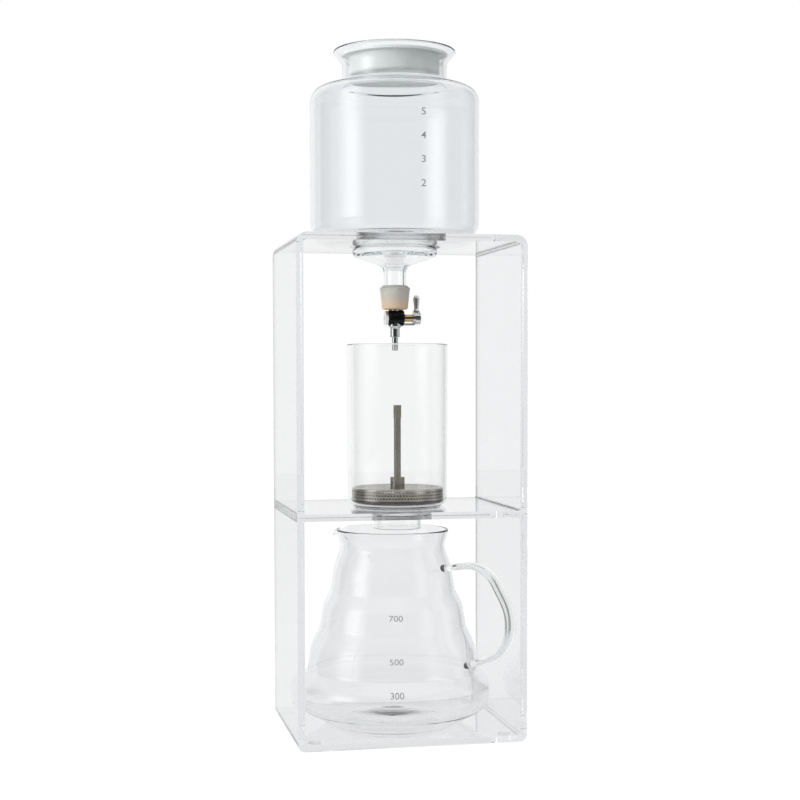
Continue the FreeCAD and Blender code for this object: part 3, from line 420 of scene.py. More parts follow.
def turned(loop, steps=TURN_STEPS):
    """Points (r cos t, r sin t, z) of an outline (r, z) turned round the axis, and their faces.

    The outline runs anticlockwise. If both its ends are on the axis they become poles, joined to
    their neighbours by triangles; otherwise the last point joins the first.
    """
    poles = loop[0, 0] < 1e-9 and loop[-1, 0] < 1e-9
    ring = loop[1:-1] if poles else loop
    angles = np.linspace(0, 2 * math.pi, steps, endpoint=False)
    radius, height = ring[:, :1], ring[:, 1:]
    grid = np.stack([radius * np.cos(angles), radius * np.sin(angles), height + 0 * angles], -1)
    points = grid.reshape(-1, 3)
    quads = grid_faces(len(ring), steps, closed_rows=not poles)
    if not poles:
        return points, (quads,)
    fans = end_fans(len(ring), steps, len(points), len(points) + 1)
    return np.vstack([points, [0, 0, loop[0, 1]], [0, 0, loop[-1, 1]]]), (quads, fans)


def triangles_of(mesh):
    """The points of a mesh and the corners of its triangles, as (n, 3) arrays."""
    mesh.calc_loop_triangles()
    points = np.empty(len(mesh.vertices) * 3, np.float32)
    mesh.vertices.foreach_get("co", points)
    corners = np.empty(len(mesh.loop_triangles) * 3, np.int32)
    mesh.loop_triangles.foreach_get("vertices", corners)
    return points.reshape(-1, 3), corners.reshape(-1, 3)


def volume_of(mesh):
    """Volume inside a closed mesh, from the signed tetrahedra on its triangles; negative if inside out."""
    points, corners = triangles_of(mesh)
    a, b, c = points[corners].transpose(1, 0, 2)
    return float((a * np.cross(b, c)).sum() / 6)


SHARP_EDGE = 32 * DEGREE


def placed(name, data):
    """An object in the scene for a mesh, a lamp or a camera."""
    thing = bpy.data.objects.new(name, data)
    bpy.context.scene.collection.objects.link(thing)
    return thing


def dress(mesh, body, material, stands_for=(), clear=False):
    """A finished piece on its body, in place of the nodes that it stands for.

    A clear piece casts no shadow: rays to the lamps don't bend in glass, and would find it black.
    """
    mesh.shade_smooth()
    mesh.set_sharp_from_angle(angle=SHARP_EDGE)
    mesh.materials.append(material)
    piece = placed(mesh.name, mesh)
    piece.visible_shadow = not clear
    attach(piece, body)
    if stands_for:
        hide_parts(*stands_for)
    print(f"{mesh.name}: {len(mesh.polygons)} faces, {volume_of(mesh) * 1e6:.1f} ml")
    return piece


def span(node):
    """Lowest and highest corner of a solid of the frame."""
    low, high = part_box(node)
    return np.array(low), np.array(high)


def moved(points, x):
    """Points put on an upright axis at x."""
    return points + np.array([x, 0, 0])


# %% [markdown]
# ## The acrylic case
#
# The stand is five thick panels, bonded so well that light passes the joints, with a shelf across
# the middle. Five touching boxes would show every joint as a mirror, so the case is one solid: an
# outline with two openings, drawn out along the depth, with fine polished chamfers on its front
# and back edges and round holes through the shelf and the top. Where glass stands on the case a
# hair of air stays between them, as under any real foot: two clear solids that share a face leave
# a ray no way to tell which of them it is in, and the contact would come out black.

# %% Sizes of the case
AIR = 0.08 * MM
case_x = span("right_side_panel")[1][0]
inner_x = span("right_side_panel")[0][0]
case_y = span("base_panel")[1][1]
base_z, floor_z = (span("base_panel")[end][2] for end in (0, 1))
shelf_under_z, shelf_z = (span("shelf_panel")[end][2] for end in (0, 1))
ceiling_z, top_z = (span("top_panel")[end][2] for end in (0, 1))
case_under, case_floor, case_shelf, case_top = base_z + AIR, floor_z - AIR, shelf_z - AIR, top_z - AIR
TOP_ROUND = 8.0 * MM
BASE_ROUND = 5.0 * MM
CASE_CHAMFER = 0.30 * MM
BOND_FILLET = 0.9 * MM
TOP_HOLE = 31.75 * MM
SHELF_HOLE = 21.35 * MM
HOLE_CHAMFER = 0.35 * MM
HOLE_STEPS = 128

# %% [markdown]
# The sheets are cast and polished. The two round holes are cut last, and their walls keep the grey
# of the saw; the finish finds them by their distance from the axis and their height.


# %% Acrylic
SAWN_BAND = 0.2 * MM


def acrylic_surface(tree):
    """Polished faces; the walls of the holes keep the grey of the saw."""
    distance, height = tree.from_axis(), tree.height()
    above_ceiling = height.math("GREATER_THAN", ceiling_z - MM)
    above_jug = height.math("GREATER_THAN", shelf_under_z - MM)
    sawn = (distance.math("LESS_THAN", TOP_HOLE + SAWN_BAND) * above_ceiling
            + distance.math("LESS_THAN", SHELF_HOLE + SAWN_BAND) * above_jug).clamped()
    saw_lines = tree.noise(0.0007, 2.0, (1, 1, 0.1))
    return {"Roughness": sawn * (0.30 + saw_lines * 0.2),
            "Base Color": tree.blend(sawn, colour(0.860, 0.865, 0.875), colour(0.82, 0.84, 0.84))}


clear_acrylic = finish("clear_acrylic", (2.2, colour(0.80, 0.82, 0.83)), acrylic_surface, IOR=ACRYLIC_INDEX,
                       Transmission_Weight=1.0)


# %% The case as one bonded solid
def window(half, low, high, low_round, high_round, inset):
    """Closed outline (x, z) of a bay or of the case, drawn in by an inset; it starts at the bottom."""
    half, low, high = half - inset, low + inset, high - inset
    line = rounded([(0, low), (half, low, low_round - inset), (half, high, high_round - inset),
                    (-half, high, high_round - inset), (-half, low, low_round - inset), (0, low)])
    return line[:-1]


def drawn_out(shape, depth, chamfer):
    """Rows of a window drawn along Y, pulled in by the chamfer at both ends: (4, n, 3) points."""
    rows = [(-depth, chamfer), (-depth + abs(chamfer), 0), (depth - abs(chamfer), 0), (depth, chamfer)]
    return np.stack([np.insert(window(*shape, inset), 1, y, axis=1) for y, inset in rows])


def flat_face(loops, facing):
    """Triangles that fill the first loop outside the others, turned to face a direction."""
    points = np.vstack(loops)
    fill = np.array(tessellate_polygon([[Vector(point) for point in loop] for loop in loops]))
    a, b, c = points[fill].transpose(1, 0, 2)
    wrong = (np.cross(b - a, c - a) @ np.array(facing)) < 0
    fill[wrong] = fill[wrong][:, ::-1]
    return points, fill


def circle(radius, z, steps=HOLE_STEPS):
    angles = np.linspace(0, 2 * math.pi, steps, endpoint=False)
    return np.column_stack([radius * np.cos(angles), radius * np.sin(angles), np.full(steps, z)])


def pierced(low, high, radius):
    """Wall of a hole through a plate, with a small chamfer at each end."""
    rows = [(low, radius + HOLE_CHAMFER), (low + HOLE_CHAMFER, radius),
            (high - HOLE_CHAMFER, radius), (high, radius + HOLE_CHAMFER)]
    points = np.vstack([circle(r, z) for z, r in rows])
    return points, grid_faces(len(rows), HOLE_STEPS)[:, ::-1]


def case_sheets():
    """Every patch of the case's surface as (points, faces)."""
    outer = drawn_out((case_x, case_under, case_top, BASE_ROUND, TOP_ROUND), case_y, CASE_CHAMFER)
    lower, upper = (drawn_out((inner_x, low, high, BOND_FILLET, BOND_FILLET), case_y, -CASE_CHAMFER)
                    for low, high in ((case_floor, shelf_under_z), (case_shelf, ceiling_z)))
    sheets = []
    holes = {case_top: TOP_HOLE, ceiling_z: TOP_HOLE, case_shelf: SHELF_HOLE, shelf_under_z: SHELF_HOLE}
    for rows, outwards in ((outer, -1), (lower, 1), (upper, 1)):
        count, columns = rows.shape[:2]
        faces = grid_faces(count, columns)[:, ::outwards]
        kept = np.ones(len(faces), bool)
        for z, radius in holes.items():
            level = np.abs(rows[1, :, 2] - z) < 1e-7
            along = np.flatnonzero(level & np.roll(level, -1))
            if not len(along):
                continue
            kept[columns + along] = False
            ends = np.union1d(along, (along + 1) % columns)
            ends = ends[np.argsort(rows[1, ends, 0])]
            edge = np.vstack([rows[1, ends], rows[2, ends][::-1]])
            up = (0, 0, 1 if z in (case_top, case_shelf) else -1)
            sheets.append(flat_face([edge, circle(radius + HOLE_CHAMFER, z)], up))
        sheets.append((rows.reshape(-1, 3), faces[kept]))
    for row, facing in ((0, (0, -1, 0)), (3, (0, 1, 0))):
        sheets.append(flat_face([outer[row], lower[row], upper[row]], facing))
    sheets.append(pierced(ceiling_z, case_top, TOP_HOLE))
    sheets.append(pierced(shelf_under_z, case_shelf, SHELF_HOLE))
    return sheets


SAME_POINT = 2e-6


def joined(name, sheets, turn_outwards=False):
    """One mesh of several patches, with the points that they share merged."""
    shell = bmesh.new()
    for points, faces in sheets:
        patch = new_mesh("patch", points, faces)
        shell.from_mesh(patch)
        bpy.data.meshes.remove(patch)
    bmesh.ops.remove_doubles(shell, verts=shell.verts, dist=SAME_POINT)
    if turn_outwards:
        bmesh.ops.recalc_face_normals(shell, faces=shell.faces)
    open_edges = sum(not edge.is_manifold for edge in shell.edges)
    mesh = bpy.data.meshes.new(name)
    shell.to_mesh(mesh)
    shell.free()
    print(name, "open edges", open_edges)
    return mesh


PANELS = ("left_side_panel", "right_side_panel", "top_panel", "base_panel", "shelf_panel")
case = dress(joined("bonded_acrylic_case", case_sheets()), "stand", clear_acrylic, PANELS,
             clear=True)
even = case.modifiers.new("even_normals", "WEIGHTED_NORMAL")
even.keep_sharp = True

# %% [markdown]
# ## The water bowl
#
# One blown piece: a jar with a flared lip on top, and a funnel below that hangs through the hole,
# bulges under the panel and narrows to the outlet tube. The funnel's wall thins from the jar's to
# the tube's, so its inside is written out instead of being moved by one thickness.

# %% Water bowl
GLASS_NODES = ("upper_bowl", "bowl_funnel", "bowl_outlet_tube")
bowl_low, bowl_high = span("upper_bowl")
bowl_x = (bowl_low[0] + bowl_high[0]) / 2
BOWL_RADIUS = (bowl_high[0] - bowl_low[0]) / 2
BOWL_WALL = 2.6 * MM
BOWL_TUBE_WALL = 2.2 * MM
TUBE_RADIUS = 8.0 * MM
COLLAR = 28.6 * MM
BULGE = 30.3 * MM
NECK = 37.2 * MM
LIP = 42.9 * MM
tube_end_z = span("bowl_outlet_tube")[0][2] + BOWL_TUBE_WALL / 2


def above_top(*corners):
    """Corners whose heights are in millimetres above the case's top."""
    return [(radius, top_z + height * MM, *(value * MM for value in rounding))
            for radius, height, *rounding in corners]


def funnel(tube_wall, wall, rise):
    """The funnel up to the collar, drawn in by its walls and up by a rise."""
    grown = wall / MM
    return above_top(
        (TUBE_RADIUS - tube_wall, (tube_end_z - top_z) / MM),
        (TUBE_RADIUS - tube_wall, -18.8 + rise, 6.0 + grown),
        (BULGE - wall, -11.4 + rise, 5.0 - grown),
        (BULGE - wall, -7.4, 2.0),
        (COLLAR - wall, -5.4, 2.0),
    )


jar = above_top(
    (COLLAR, -2.7), (COLLAR, 0, 2.0), (BOWL_RADIUS, 0, 12.0), (BOWL_RADIUS, 105.0, 10.5),
    (NECK, 110.5, 3.0), (NECK, 124.4, 4.0), (LIP, 131.2))
outside = rounded(funnel(0, 0, 0) + jar[1:])
inside = rounded(funnel(BOWL_TUBE_WALL, BOWL_WALL, BOWL_WALL / MM) + thickened(jar, BOWL_WALL)[1:])
points, faces = turned(guarded(wall_loop(outside, inside)))
dress(new_mesh("water_bowl_glass", moved(points, bowl_x), *faces),
      "water_bowl", bowl_glass, GLASS_NODES, clear=True)

# %% [markdown]
# ## The coffee bowl
#
# A straight glass, a little wider at the rim, with a wide tube through its floor that guides the
# coffee into the jug.

# %% Coffee bowl
coffee_low, coffee_high = span("lower_bowl")
coffee_x = (coffee_low[0] + coffee_high[0]) / 2
COFFEE_WALL = 1.8 * MM
COFFEE_TUBE = 17.1 * MM
COFFEE_BASE = 35.4 * MM
COFFEE_CORNER = 5.0 * MM
coffee_rim = (coffee_high[0] - coffee_low[0]) / 2
glass = [
    (COFFEE_TUBE, coffee_low[2] + COFFEE_WALL / 2),
    (COFFEE_TUBE, shelf_z, 1.5 * MM),
    (COFFEE_BASE, shelf_z, COFFEE_CORNER),
    (coffee_rim, coffee_high[2] - COFFEE_WALL / 2),
]
points, faces = turned(guarded(wall_loop(rounded(glass), rounded(thickened(glass, COFFEE_WALL)))))
dress(new_mesh("coffee_bowl_glass", moved(points, coffee_x), *faces),
      "coffee_bowl", coffee_bowl_glass, ("lower_bowl",), clear=True)

# %% [markdown]
# ## The jug
#
# The jug is blown into a mould with three rounded bands above a wide belly, and its lip is pulled
# into a small beak while it is hot. The turned wall is made first; then the beak is a push on its
# points, outwards and down, that fades with the distance from the beak's middle and from the rim.

# %% Jug
jug_high = span("jug_body")[1]
JUG_STEPS = 288
JUG_BELLY = 69.9 * MM
jug_x = jug_high[0] - JUG_BELLY
JUG_WALL = 2.0 * MM
JUG_NECK = (36.9 * MM, 127.0 * MM)
JUG_MOUTH = 40.0 * MM
JUG_BASE = ((0, 1.5, 0), (30, 1.5, 4.0), (34, 0, 4.0),
            (46, 0, 14.0), (69.9, 14.0, 14.0), (69.9, 29.5, 12.0))
BANDS = ((61.0, 39.3, 58.8, 56.5), (52.4, 69.8, 50.0, 85.5), (44.5, 95.8, 42.0, 112.5))
WAIST_ROUND = 4.0
BAND_ROUND = 18.0


def jug_corners():
    """Outside of the jug from the middle of its base to the lip."""
    corners = list(JUG_BASE)
    for waist, waist_height, band, band_height in BANDS:
        corners += [(waist, waist_height, WAIST_ROUND), (band, band_height, BAND_ROUND)]
    line = [(r * MM, floor_z + h * MM, rounding * MM) for r, h, rounding in corners]
    line.append((JUG_NECK[0], floor_z + JUG_NECK[1], 8.0 * MM))
    rise = jug_high[2] - JUG_WALL - floor_z - JUG_NECK[1]
    flare = JUG_MOUTH - JUG_NECK[0]
    slant = flare / math.hypot(flare, rise)
    line.append((JUG_MOUTH, jug_high[2] - JUG_WALL / 2 * (1 + slant), 0))
    return line


jug_outside = jug_corners()
jug_profile = rounded(jug_outside)
inner_corners = thickened(jug_outside, JUG_WALL)
inner_corners[0] = (0, *inner_corners[0][1:])
inside = rounded(inner_corners)[::-1]
jug_loop = np.vstack([jug_profile, half_round(jug_profile[-1], inside[0]), inside])

SPOUT_ANGLE = 138 * DEGREE
SPOUT_REACH = 51.5 * MM
SPOUT_DROP = 8.0 * MM
SPOUT_HEIGHT = 15.0 * MM
SPOUT_HALF_WIDTH = 11.0 * DEGREE


def beak(points):
    """Points pushed out and down near the spout.

    The push is g s^2.2: g is a bell exp(-(angle / width)^2), and s rises evenly from 0 at the beak's
    root to 1 at the rim. The drop is g^2 s^5, and a pinch of the angles makes the beak narrow.
    """
    radius = np.hypot(points[:, 0], points[:, 1])
    angle = np.arctan2(points[:, 1], points[:, 0]) - SPOUT_ANGLE
    angle = (angle + math.pi) % (2 * math.pi) - math.pi
    share = np.clip((points[:, 2] - jug_high[2] + SPOUT_HEIGHT) / SPOUT_HEIGHT, 0, 1)
    bell = np.exp(-(angle / SPOUT_HALF_WIDTH) ** 2)
    push = bell * share ** 2.2 * (SPOUT_REACH - JUG_MOUTH)
    drop = bell ** 2 * share ** 5 * SPOUT_DROP
    pinch = 1 - 0.35 * np.exp(-(angle / (1.6 * SPOUT_HALF_WIDTH)) ** 4) * share ** 3
    grown, turned_to = radius + push, SPOUT_ANGLE + angle * pinch
    return np.column_stack([grown * np.cos(turned_to), grown * np.sin(turned_to), points[:, 2] - drop])


points, faces = turned(guarded(jug_loop)[:-2], JUG_STEPS)
dress(new_mesh("jug_glass_body", moved(beak(points), jug_x), *faces),
      "jug", jug_glass, ("jug_body",), clear=True)

# %% [markdown]
# ## The jug's handle
#
# A flattened rod of clear glass, bent in the upright plane through the jug's axis and fused to
# the wall at both ends. An ellipse is carried along the bent path; near each end it grows into
# the soft pad where the hot glass was pressed on, and the last ring lies on the jug's wall.

# %% Handle
HANDLE_ANGLE = -42 * DEGREE
HANDLE_THICK = 5.0 * MM
HANDLE_WIDE = 15.4 * MM
HANDLE_STEPS = 220
HANDLE_RING = 48
PAD_LENGTH = 2.4 * MM
PAD_GROWTH = 0.05
ROOT_WIDTH = 0.52
ROOT_LENGTH = 26.0 * MM
ROOT_GAP = 0.02 * MM
handle_high = span("jug_handle")[1]


def handle_path():
    """Middle line of the handle as (distance from the axis, height), evenly spaced."""
    half_span = math.hypot(HANDLE_THICK / 2 * math.cos(HANDLE_ANGLE),
                           HANDLE_WIDE / 2 * math.sin(HANDLE_ANGLE))
    reach = (handle_high[0] - jug_x - half_span) / math.cos(HANDLE_ANGLE)
    line = rounded([
        (38.0 * MM, floor_z + 112.4 * MM), (reach - 18.7 * MM, floor_z + 118.4 * MM, 24 * MM),
        (reach, floor_z + 86.0 * MM, 30 * MM), (reach, floor_z + 58.2 * MM, 24 * MM),
        (54.8 * MM, floor_z + 43.6 * MM)])
    along = np.append(0, np.cumsum(np.linalg.norm(np.diff(line, axis=0), axis=1)))
    even_steps = np.linspace(0, along[-1], HANDLE_STEPS)
    return np.column_stack([np.interp(even_steps, along, line[:, axis]) for axis in (0, 1)]), even_steps


def wall_radius(height):
    """The jug's outer radius at a height."""
    order = np.argsort(jug_profile[:, 1])
    return np.interp(height, jug_profile[order, 1], jug_profile[order, 0])


def handle_mesh():
    """Sections p(s) + u N(s) + v B of an ellipse (u, v), with N the normal in the plane and B across it.

    The ellipse widens smoothly from each root to the grip, by w = a + (1 - a) (3 t^2 - 2 t^3).
    """
    path, along = handle_path()
    outside_wall = path[:, 0] > wall_radius(path[:, 1])
    path, along = path[outside_wall], along[outside_wall]
    tangent = np.gradient(path, axis=0)
    tangent /= np.linalg.norm(tangent, axis=1, keepdims=True)
    ring = np.linspace(0, 2 * math.pi, HANDLE_RING, endpoint=False)
    from_end = np.minimum(along - along[0], along[-1] - along)
    growth = 1 + PAD_GROWTH * np.exp(-(from_end / PAD_LENGTH) ** 2)[:, None]
    widening = np.clip(from_end / ROOT_LENGTH, 0, 1)[:, None]
    width = ROOT_WIDTH + (1 - ROOT_WIDTH) * widening ** 2 * (3 - 2 * widening)
    u = HANDLE_THICK / 2 * np.cos(ring) * growth
    v = HANDLE_WIDE / 2 * np.sin(ring) * growth * width
    out = path[:, :1] - u * tangent[:, 1:]
    up = path[:, 1:] + u * tangent[:, :1]
    for end in (0, -1):
        touching = wall_radius(up[end])
        out[end] = np.sqrt(np.maximum(touching ** 2 - v[end] ** 2, 0)) + ROOT_GAP
    cos, sin = math.cos(HANDLE_ANGLE), math.sin(HANDLE_ANGLE)
    points = np.stack([out * cos - v * sin, out * sin + v * cos, up], -1)
    caps = points[[0, -1]].mean(axis=1)
    rows = len(points)
    points = np.vstack([points.reshape(-1, 3), caps])
    fans = end_fans(rows, HANDLE_RING, len(points) - 2, len(points) - 1)
    quads = grid_faces(rows, HANDLE_RING)
    return new_mesh("jug_glass_handle", moved(points, jug_x), quads[:, ::-1], fans[:, ::-1])


dress(handle_mesh(), "jug", handle_glass, ("jug_handle",), clear=True)

# %% [markdown]
# ## The filter's drum
#
# The drum is stamped from perforated sheet. Its top is flat, so all its round holes are cut out of
# a disc by a constrained triangulation; its skirt is a strip of square cells, each with a hole of
# eight points, every other row moved by half a cell. Outside and inside are the same net at two
# depths, joined at the holes' edges.

# %% Perforated drum
drum_low, drum_high = span("filter_drum")
drum_x = (drum_low[0] + drum_high[0]) / 2
DRUM_RADIUS = (drum_high[0] - drum_low[0]) / 2
DRUM_SHEET = 0.6 * MM
DRUM_EDGE = 1.4 * MM
STEM_HOLE = 2.05 * MM
STEM_CORNERS = 24
EDGE_ROWS = 7
PITCH = 2.1 * MM
HOLE = 0.70 * MM
HOLE_CORNERS = 8
SKIRT_CELLS = 96
SKIRT_ROWS = 3
DRUM_STEPS = 2 * SKIRT_CELLS
PLAIN_RING = 6.0 * MM


def hole_places():
    """Middles of the holes in the top: a grid of triangles, kept between the stem and the edge."""
    reach = DRUM_RADIUS - DRUM_EDGE
    count = int(reach / PITCH) + 2
    row, column = np.meshgrid(np.arange(-count, count + 1), np.arange(-count, count + 1), indexing="ij")
    x = (column + 0.5 * (row % 2)) * PITCH
    y = row * PITCH * math.sqrt(3) / 2
    distance = np.hypot(x, y)
    keep = (distance > PLAIN_RING) & (distance < reach - PITCH * 0.55)
    return np.column_stack([x[keep], y[keep]])


def ring_points(centres, radius, corners):
    """Corners of a small polygon round each centre: (n, corners, 2)."""
    angles = np.linspace(0, 2 * math.pi, corners, endpoint=False)
    return centres[:, None, :] + radius * np.column_stack([np.cos(angles), np.sin(angles)])


def loop_edges(first, count, corners):
    """Edges round each of several loops of points that follow one another."""
    start = first + np.arange(count)[:, None] * corners
    j = np.arange(corners)[None, :]
    return np.stack([start + j, start + (j + 1) % corners], -1).reshape(-1, 2)


def belts(count, size, corners, pairs):
    """Quads from loop to loop for pairs of first points, again in each of count groups of a size."""
    j = np.arange(corners)
    right = (j + 1) % corners
    group = np.vstack([np.column_stack([a + j, a + right, b + right, b + j]) for a, b in pairs])
    return (np.arange(count)[:, None, None] * size + group).reshape(-1, 4)


def drum_top():
    """The flat top at both depths, with the walls of its holes: (points, triangles), (points, quads)."""
    centres = hole_places()
    edge = circle(DRUM_RADIUS - DRUM_EDGE, 0, DRUM_STEPS)[:, :2]
    stem = circle(STEM_HOLE, 0, STEM_CORNERS)[:, :2]
    holes = ring_points(centres, HOLE, HOLE_CORNERS)
    flat = np.vstack([edge, stem, holes.reshape(-1, 2)])
    edges = np.vstack([loop_edges(0, 1, DRUM_STEPS), loop_edges(DRUM_STEPS, 1, STEM_CORNERS),
                       loop_edges(DRUM_STEPS + STEM_CORNERS, len(centres), HOLE_CORNERS)])
    made = delaunay_2d_cdt([Vector(point) for point in flat], edges.tolist(), [], 0, 1e-7)
    fill = np.array(made[2])
    flat = np.array([tuple(point) for point in made[0]])
    middle = flat[fill].mean(axis=1)
    nearest = np.min(np.linalg.norm(middle[:, None] - centres[None], axis=2), axis=1)
    keep = (np.hypot(*middle.T) > STEM_HOLE * 0.99) & (nearest > HOLE * 0.95)
    fill = fill[keep & (np.hypot(*middle.T) < DRUM_RADIUS - DRUM_EDGE)]
    top = np.column_stack([flat, np.full(len(flat), drum_high[2])])
    under = top - np.array([0, 0, DRUM_SHEET])
    sheets = [(top, fill), (under, fill[:, ::-1])]
    for loops in (holes, stem[None]):
        count, corners = loops.shape[:2]
        rim = np.dstack([loops, np.full((count, corners), drum_high[2])])
        wall = np.concatenate([rim, rim - np.array([0, 0, DRUM_SHEET])], axis=1).reshape(-1, 3)
        sheets.append((wall, belts(count, 2 * corners, corners, ((0, corners),))))
    return sheets


def bent(angle, along, depth):
    """The drum's side at an angle: along its outline from the top's edge, round the corner and down.

    Up to a quarter circle the point is on the round, (R - e + e sin t, z - e + e cos t); past it,
    straight down. The depth draws it in from the outside of the sheet.
    """
    quarter = DRUM_EDGE * math.pi / 2
    t = np.clip(along / DRUM_EDGE, 0, math.pi / 2)
    radius = DRUM_RADIUS - DRUM_EDGE + (DRUM_EDGE - depth) * np.sin(t)
    height = drum_high[2] - DRUM_EDGE + (DRUM_EDGE - depth) * np.cos(t) - np.maximum(along - quarter, 0)
    return np.stack([radius * np.cos(angle), radius * np.sin(angle), height], -1)


def drum_side():
    """The corner and the skirt at both depths, with the skirt's holes."""
    quarter = DRUM_EDGE * math.pi / 2
    total = quarter + (drum_high[2] - DRUM_EDGE - drum_low[2])
    cell = 2 * math.pi * DRUM_RADIUS / SKIRT_CELLS
    first_row = total - SKIRT_ROWS * cell - 0.35 * cell
    step = math.pi / SKIRT_CELLS
    angles = np.arange(DRUM_STEPS) * step
    sheets = []
    bands = [np.append(np.linspace(0, quarter, EDGE_ROWS), first_row), [first_row + SKIRT_ROWS * cell, total]]
    for depth, order in ((0, 1), (DRUM_SHEET, -1)):
        for band in bands:
            along, angle = np.meshgrid(band, angles, indexing="ij")
            faces = grid_faces(len(band), DRUM_STEPS)[:, ::-order]
            sheets.append((bent(angle, along, depth).reshape(-1, 3), faces))
    frame_u = np.array([0, 1, 2, 2, 2, 1, 0, 0])
    frame_v = np.array([0, 0, 0, 0.5, 1, 1, 1, 0.5])
    turn = np.arange(8) * math.pi / 4 - 0.75 * math.pi
    hole_u = 1 + np.cos(turn) * HOLE / (cell / 2)
    hole_v = 0.5 + np.sin(turn) * HOLE / cell
    row, column = np.meshgrid(np.arange(SKIRT_ROWS), np.arange(SKIRT_CELLS), indexing="ij")
    start_u = (2 * column + row % 2).reshape(-1, 1)
    start_v = row.reshape(-1, 1)
    loops = []
    for depth in (0, DRUM_SHEET):
        for u, v in ((frame_u, frame_v), (hole_u, hole_v)):
            loops.append(bent((start_u + u) * step, first_row + (start_v + v) * cell, depth))
    points = np.stack(loops, 1)
    quads = belts(len(points), 32, 8, ((0, 8), (8, 24), (24, 16)))
    sheets.append((points.reshape(-1, 3), quads[:, ::-1]))
    rim = np.vstack([bent(angles, np.full(DRUM_STEPS, total), depth) for depth in (0, DRUM_SHEET)])
    sheets.append((rim, grid_faces(2, DRUM_STEPS)[:, ::-1]))
    return sheets


drum_sheets = [(moved(points, drum_x), faces) for points, faces in drum_top() + drum_side()]
drum_mesh = joined("perforated_filter_drum", drum_sheets, turn_outwards=True)
dress(drum_mesh, "filter", drum_steel, ("filter_drum",))

# %% [markdown]
# ## The filter's gasket
#
# The drum stands on a dark silicone ring that fills the rounded corner of the bowl's floor, and
# shows through the glass as a glossy brown band.

# %% Gasket
gasket_low, gasket_high = span("filter_gasket")
GASKET_OUTSIDE = (gasket_high[0] - gasket_low[0]) / 2
GASKET_INSIDE = GASKET_OUTSIDE - 6.2 * MM
GASKET_HEEL = 2.9 * MM
GASKET_EDGE = 0.2 * MM
gasket_loop = rounded([
    (GASKET_INSIDE, gasket_high[2]), (GASKET_INSIDE, gasket_low[2]),
    (GASKET_OUTSIDE, gasket_low[2], GASKET_HEEL), (GASKET_OUTSIDE, gasket_high[2], GASKET_EDGE),
    (GASKET_INSIDE, gasket_high[2])])[:-1]
points, faces = turned(gasket_loop)
dress(new_mesh("rounded_gasket", moved(points, drum_x), *faces),
      "filter", gasket_silicone, ("filter_gasket",))

# %% [markdown]
# ## Finishes of the carried solids
#
# The metal and silicone parts are already the right shape in the frame, so they only take their
# finishes.

# %% Carried solids
# The tap body takes the black finish: a painted dark reflection in place of its chrome.
CARRIED = {
    "bumper_feet": foot_pad, "lid_cap": lid_plastic, "silicone_stopper": silicone, "tap_body": black_plastic,
    "tap_inlet_tube": drawn_steel, "drip_tube": drawn_steel, "drip_tip": drawn_steel,
    "stop_pin": chrome_plate, "tap_plug": brass, "tap_washer": black_plastic,
    "tap_spring_washer": drawn_steel, "retaining_nut": chrome_plate, "lever_hub": chrome_plate,
    "lever_handle": chrome_plate, "filter_mesh": fine_mesh_painted_shade,
    "stem_collar": filter_steel, "filter_stem": filter_steel, "stem_cap": filter_steel,
    "clamp_nut": drawn_steel,
}
for node, material in CARRIED.items():
    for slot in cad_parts[node].material_slots:
        slot.material = material
print(len(CARRIED), "solids finished")

# %% [markdown]
# ## The printed scales
#
# The water bowl has a scale of cups and the jug one of millilitres, fired on to the outside. The
# numbers are text made into thin solids, then bent round the glass: a point's distance along the
# line of text becomes an angle, and its depth is added to the glass's radius.

# %% Numbers on the glass
PRINT_THICKNESS = 0.04 * MM
DIGIT_WIDTH = 1.15
DIGIT_SHARE = 0.73
BOWL_SCALE = ((5, 433.0), (4, 417.0), (3, 401.1), (2, 385.0))
JUG_SCALE = ((700, 87.8), (500, 59.1), (300, 37.6))


def number_points(text, height):
    """Points and triangles of a number as a thin solid, centred, with digits of a height."""
    words = bpy.data.curves.new("number", "FONT")
    words.body = text
    words.align_x, words.align_y = "CENTER", "CENTER"
    words.size = height / DIGIT_SHARE
    words.offset = 0.003 * height
    words.extrude = PRINT_THICKNESS / 2
    words.resolution_u = 5
    drawn = bpy.data.objects.new("number", words)
    points, corners = triangles_of(bpy.data.meshes.new_from_object(drawn))
    bpy.data.objects.remove(drawn)
    bpy.data.curves.remove(words)
    return points.astype(float), corners


def bent_number(text, height, z, angle, radius_at):
    """A number on a turned glass: x becomes an angle, y a height and its depth a distance outwards."""
    flat, faces = number_points(text, height)
    up = z + flat[:, 1]
    radius = radius_at(up)
    turn = angle + flat[:, 0] * DIGIT_WIDTH / radius
    out = radius + flat[:, 2] + PRINT_THICKNESS * 0.8
    return np.column_stack([out * np.cos(turn), out * np.sin(turn), up]), faces


def scale_mesh(name, numbers, height, angle, radius_at, x):
    made = [bent_number(str(number), height, z * MM, angle, radius_at) for number, z in numbers]
    starts = np.cumsum([0] + [len(points) for points, _ in made[:-1]])
    faces = np.vstack([fill + start for (_, fill), start in zip(made, starts)])
    return new_mesh(name, moved(np.vstack([points for points, _ in made]), x), faces)


BOWL_SCALE_ANGLE = -82.2 * DEGREE
JUG_SCALE_ANGLE = -98.8 * DEGREE
BOWL_DIGIT = 5.0 * MM
JUG_DIGIT = 4.2 * MM
dress(scale_mesh("bowl_scale_numbers", BOWL_SCALE, BOWL_DIGIT, BOWL_SCALE_ANGLE,
                 lambda up: np.full(len(up), BOWL_RADIUS), bowl_x),
      "water_bowl", scale_print)
dress(scale_mesh("jug_scale_numbers", JUG_SCALE, JUG_DIGIT, JUG_SCALE_ANGLE, wall_radius, jug_x),
      "jug", scale_print)

# %% [markdown]
# ## The room
#
# Glass in a room that is bright all round has no outline. So, for the light that passes glass, the
# room has a dark slot at each side and a dim end behind the camera, under a white ceiling; and for
# what polish reflects, that end is dark. The floor and the world share these levels.


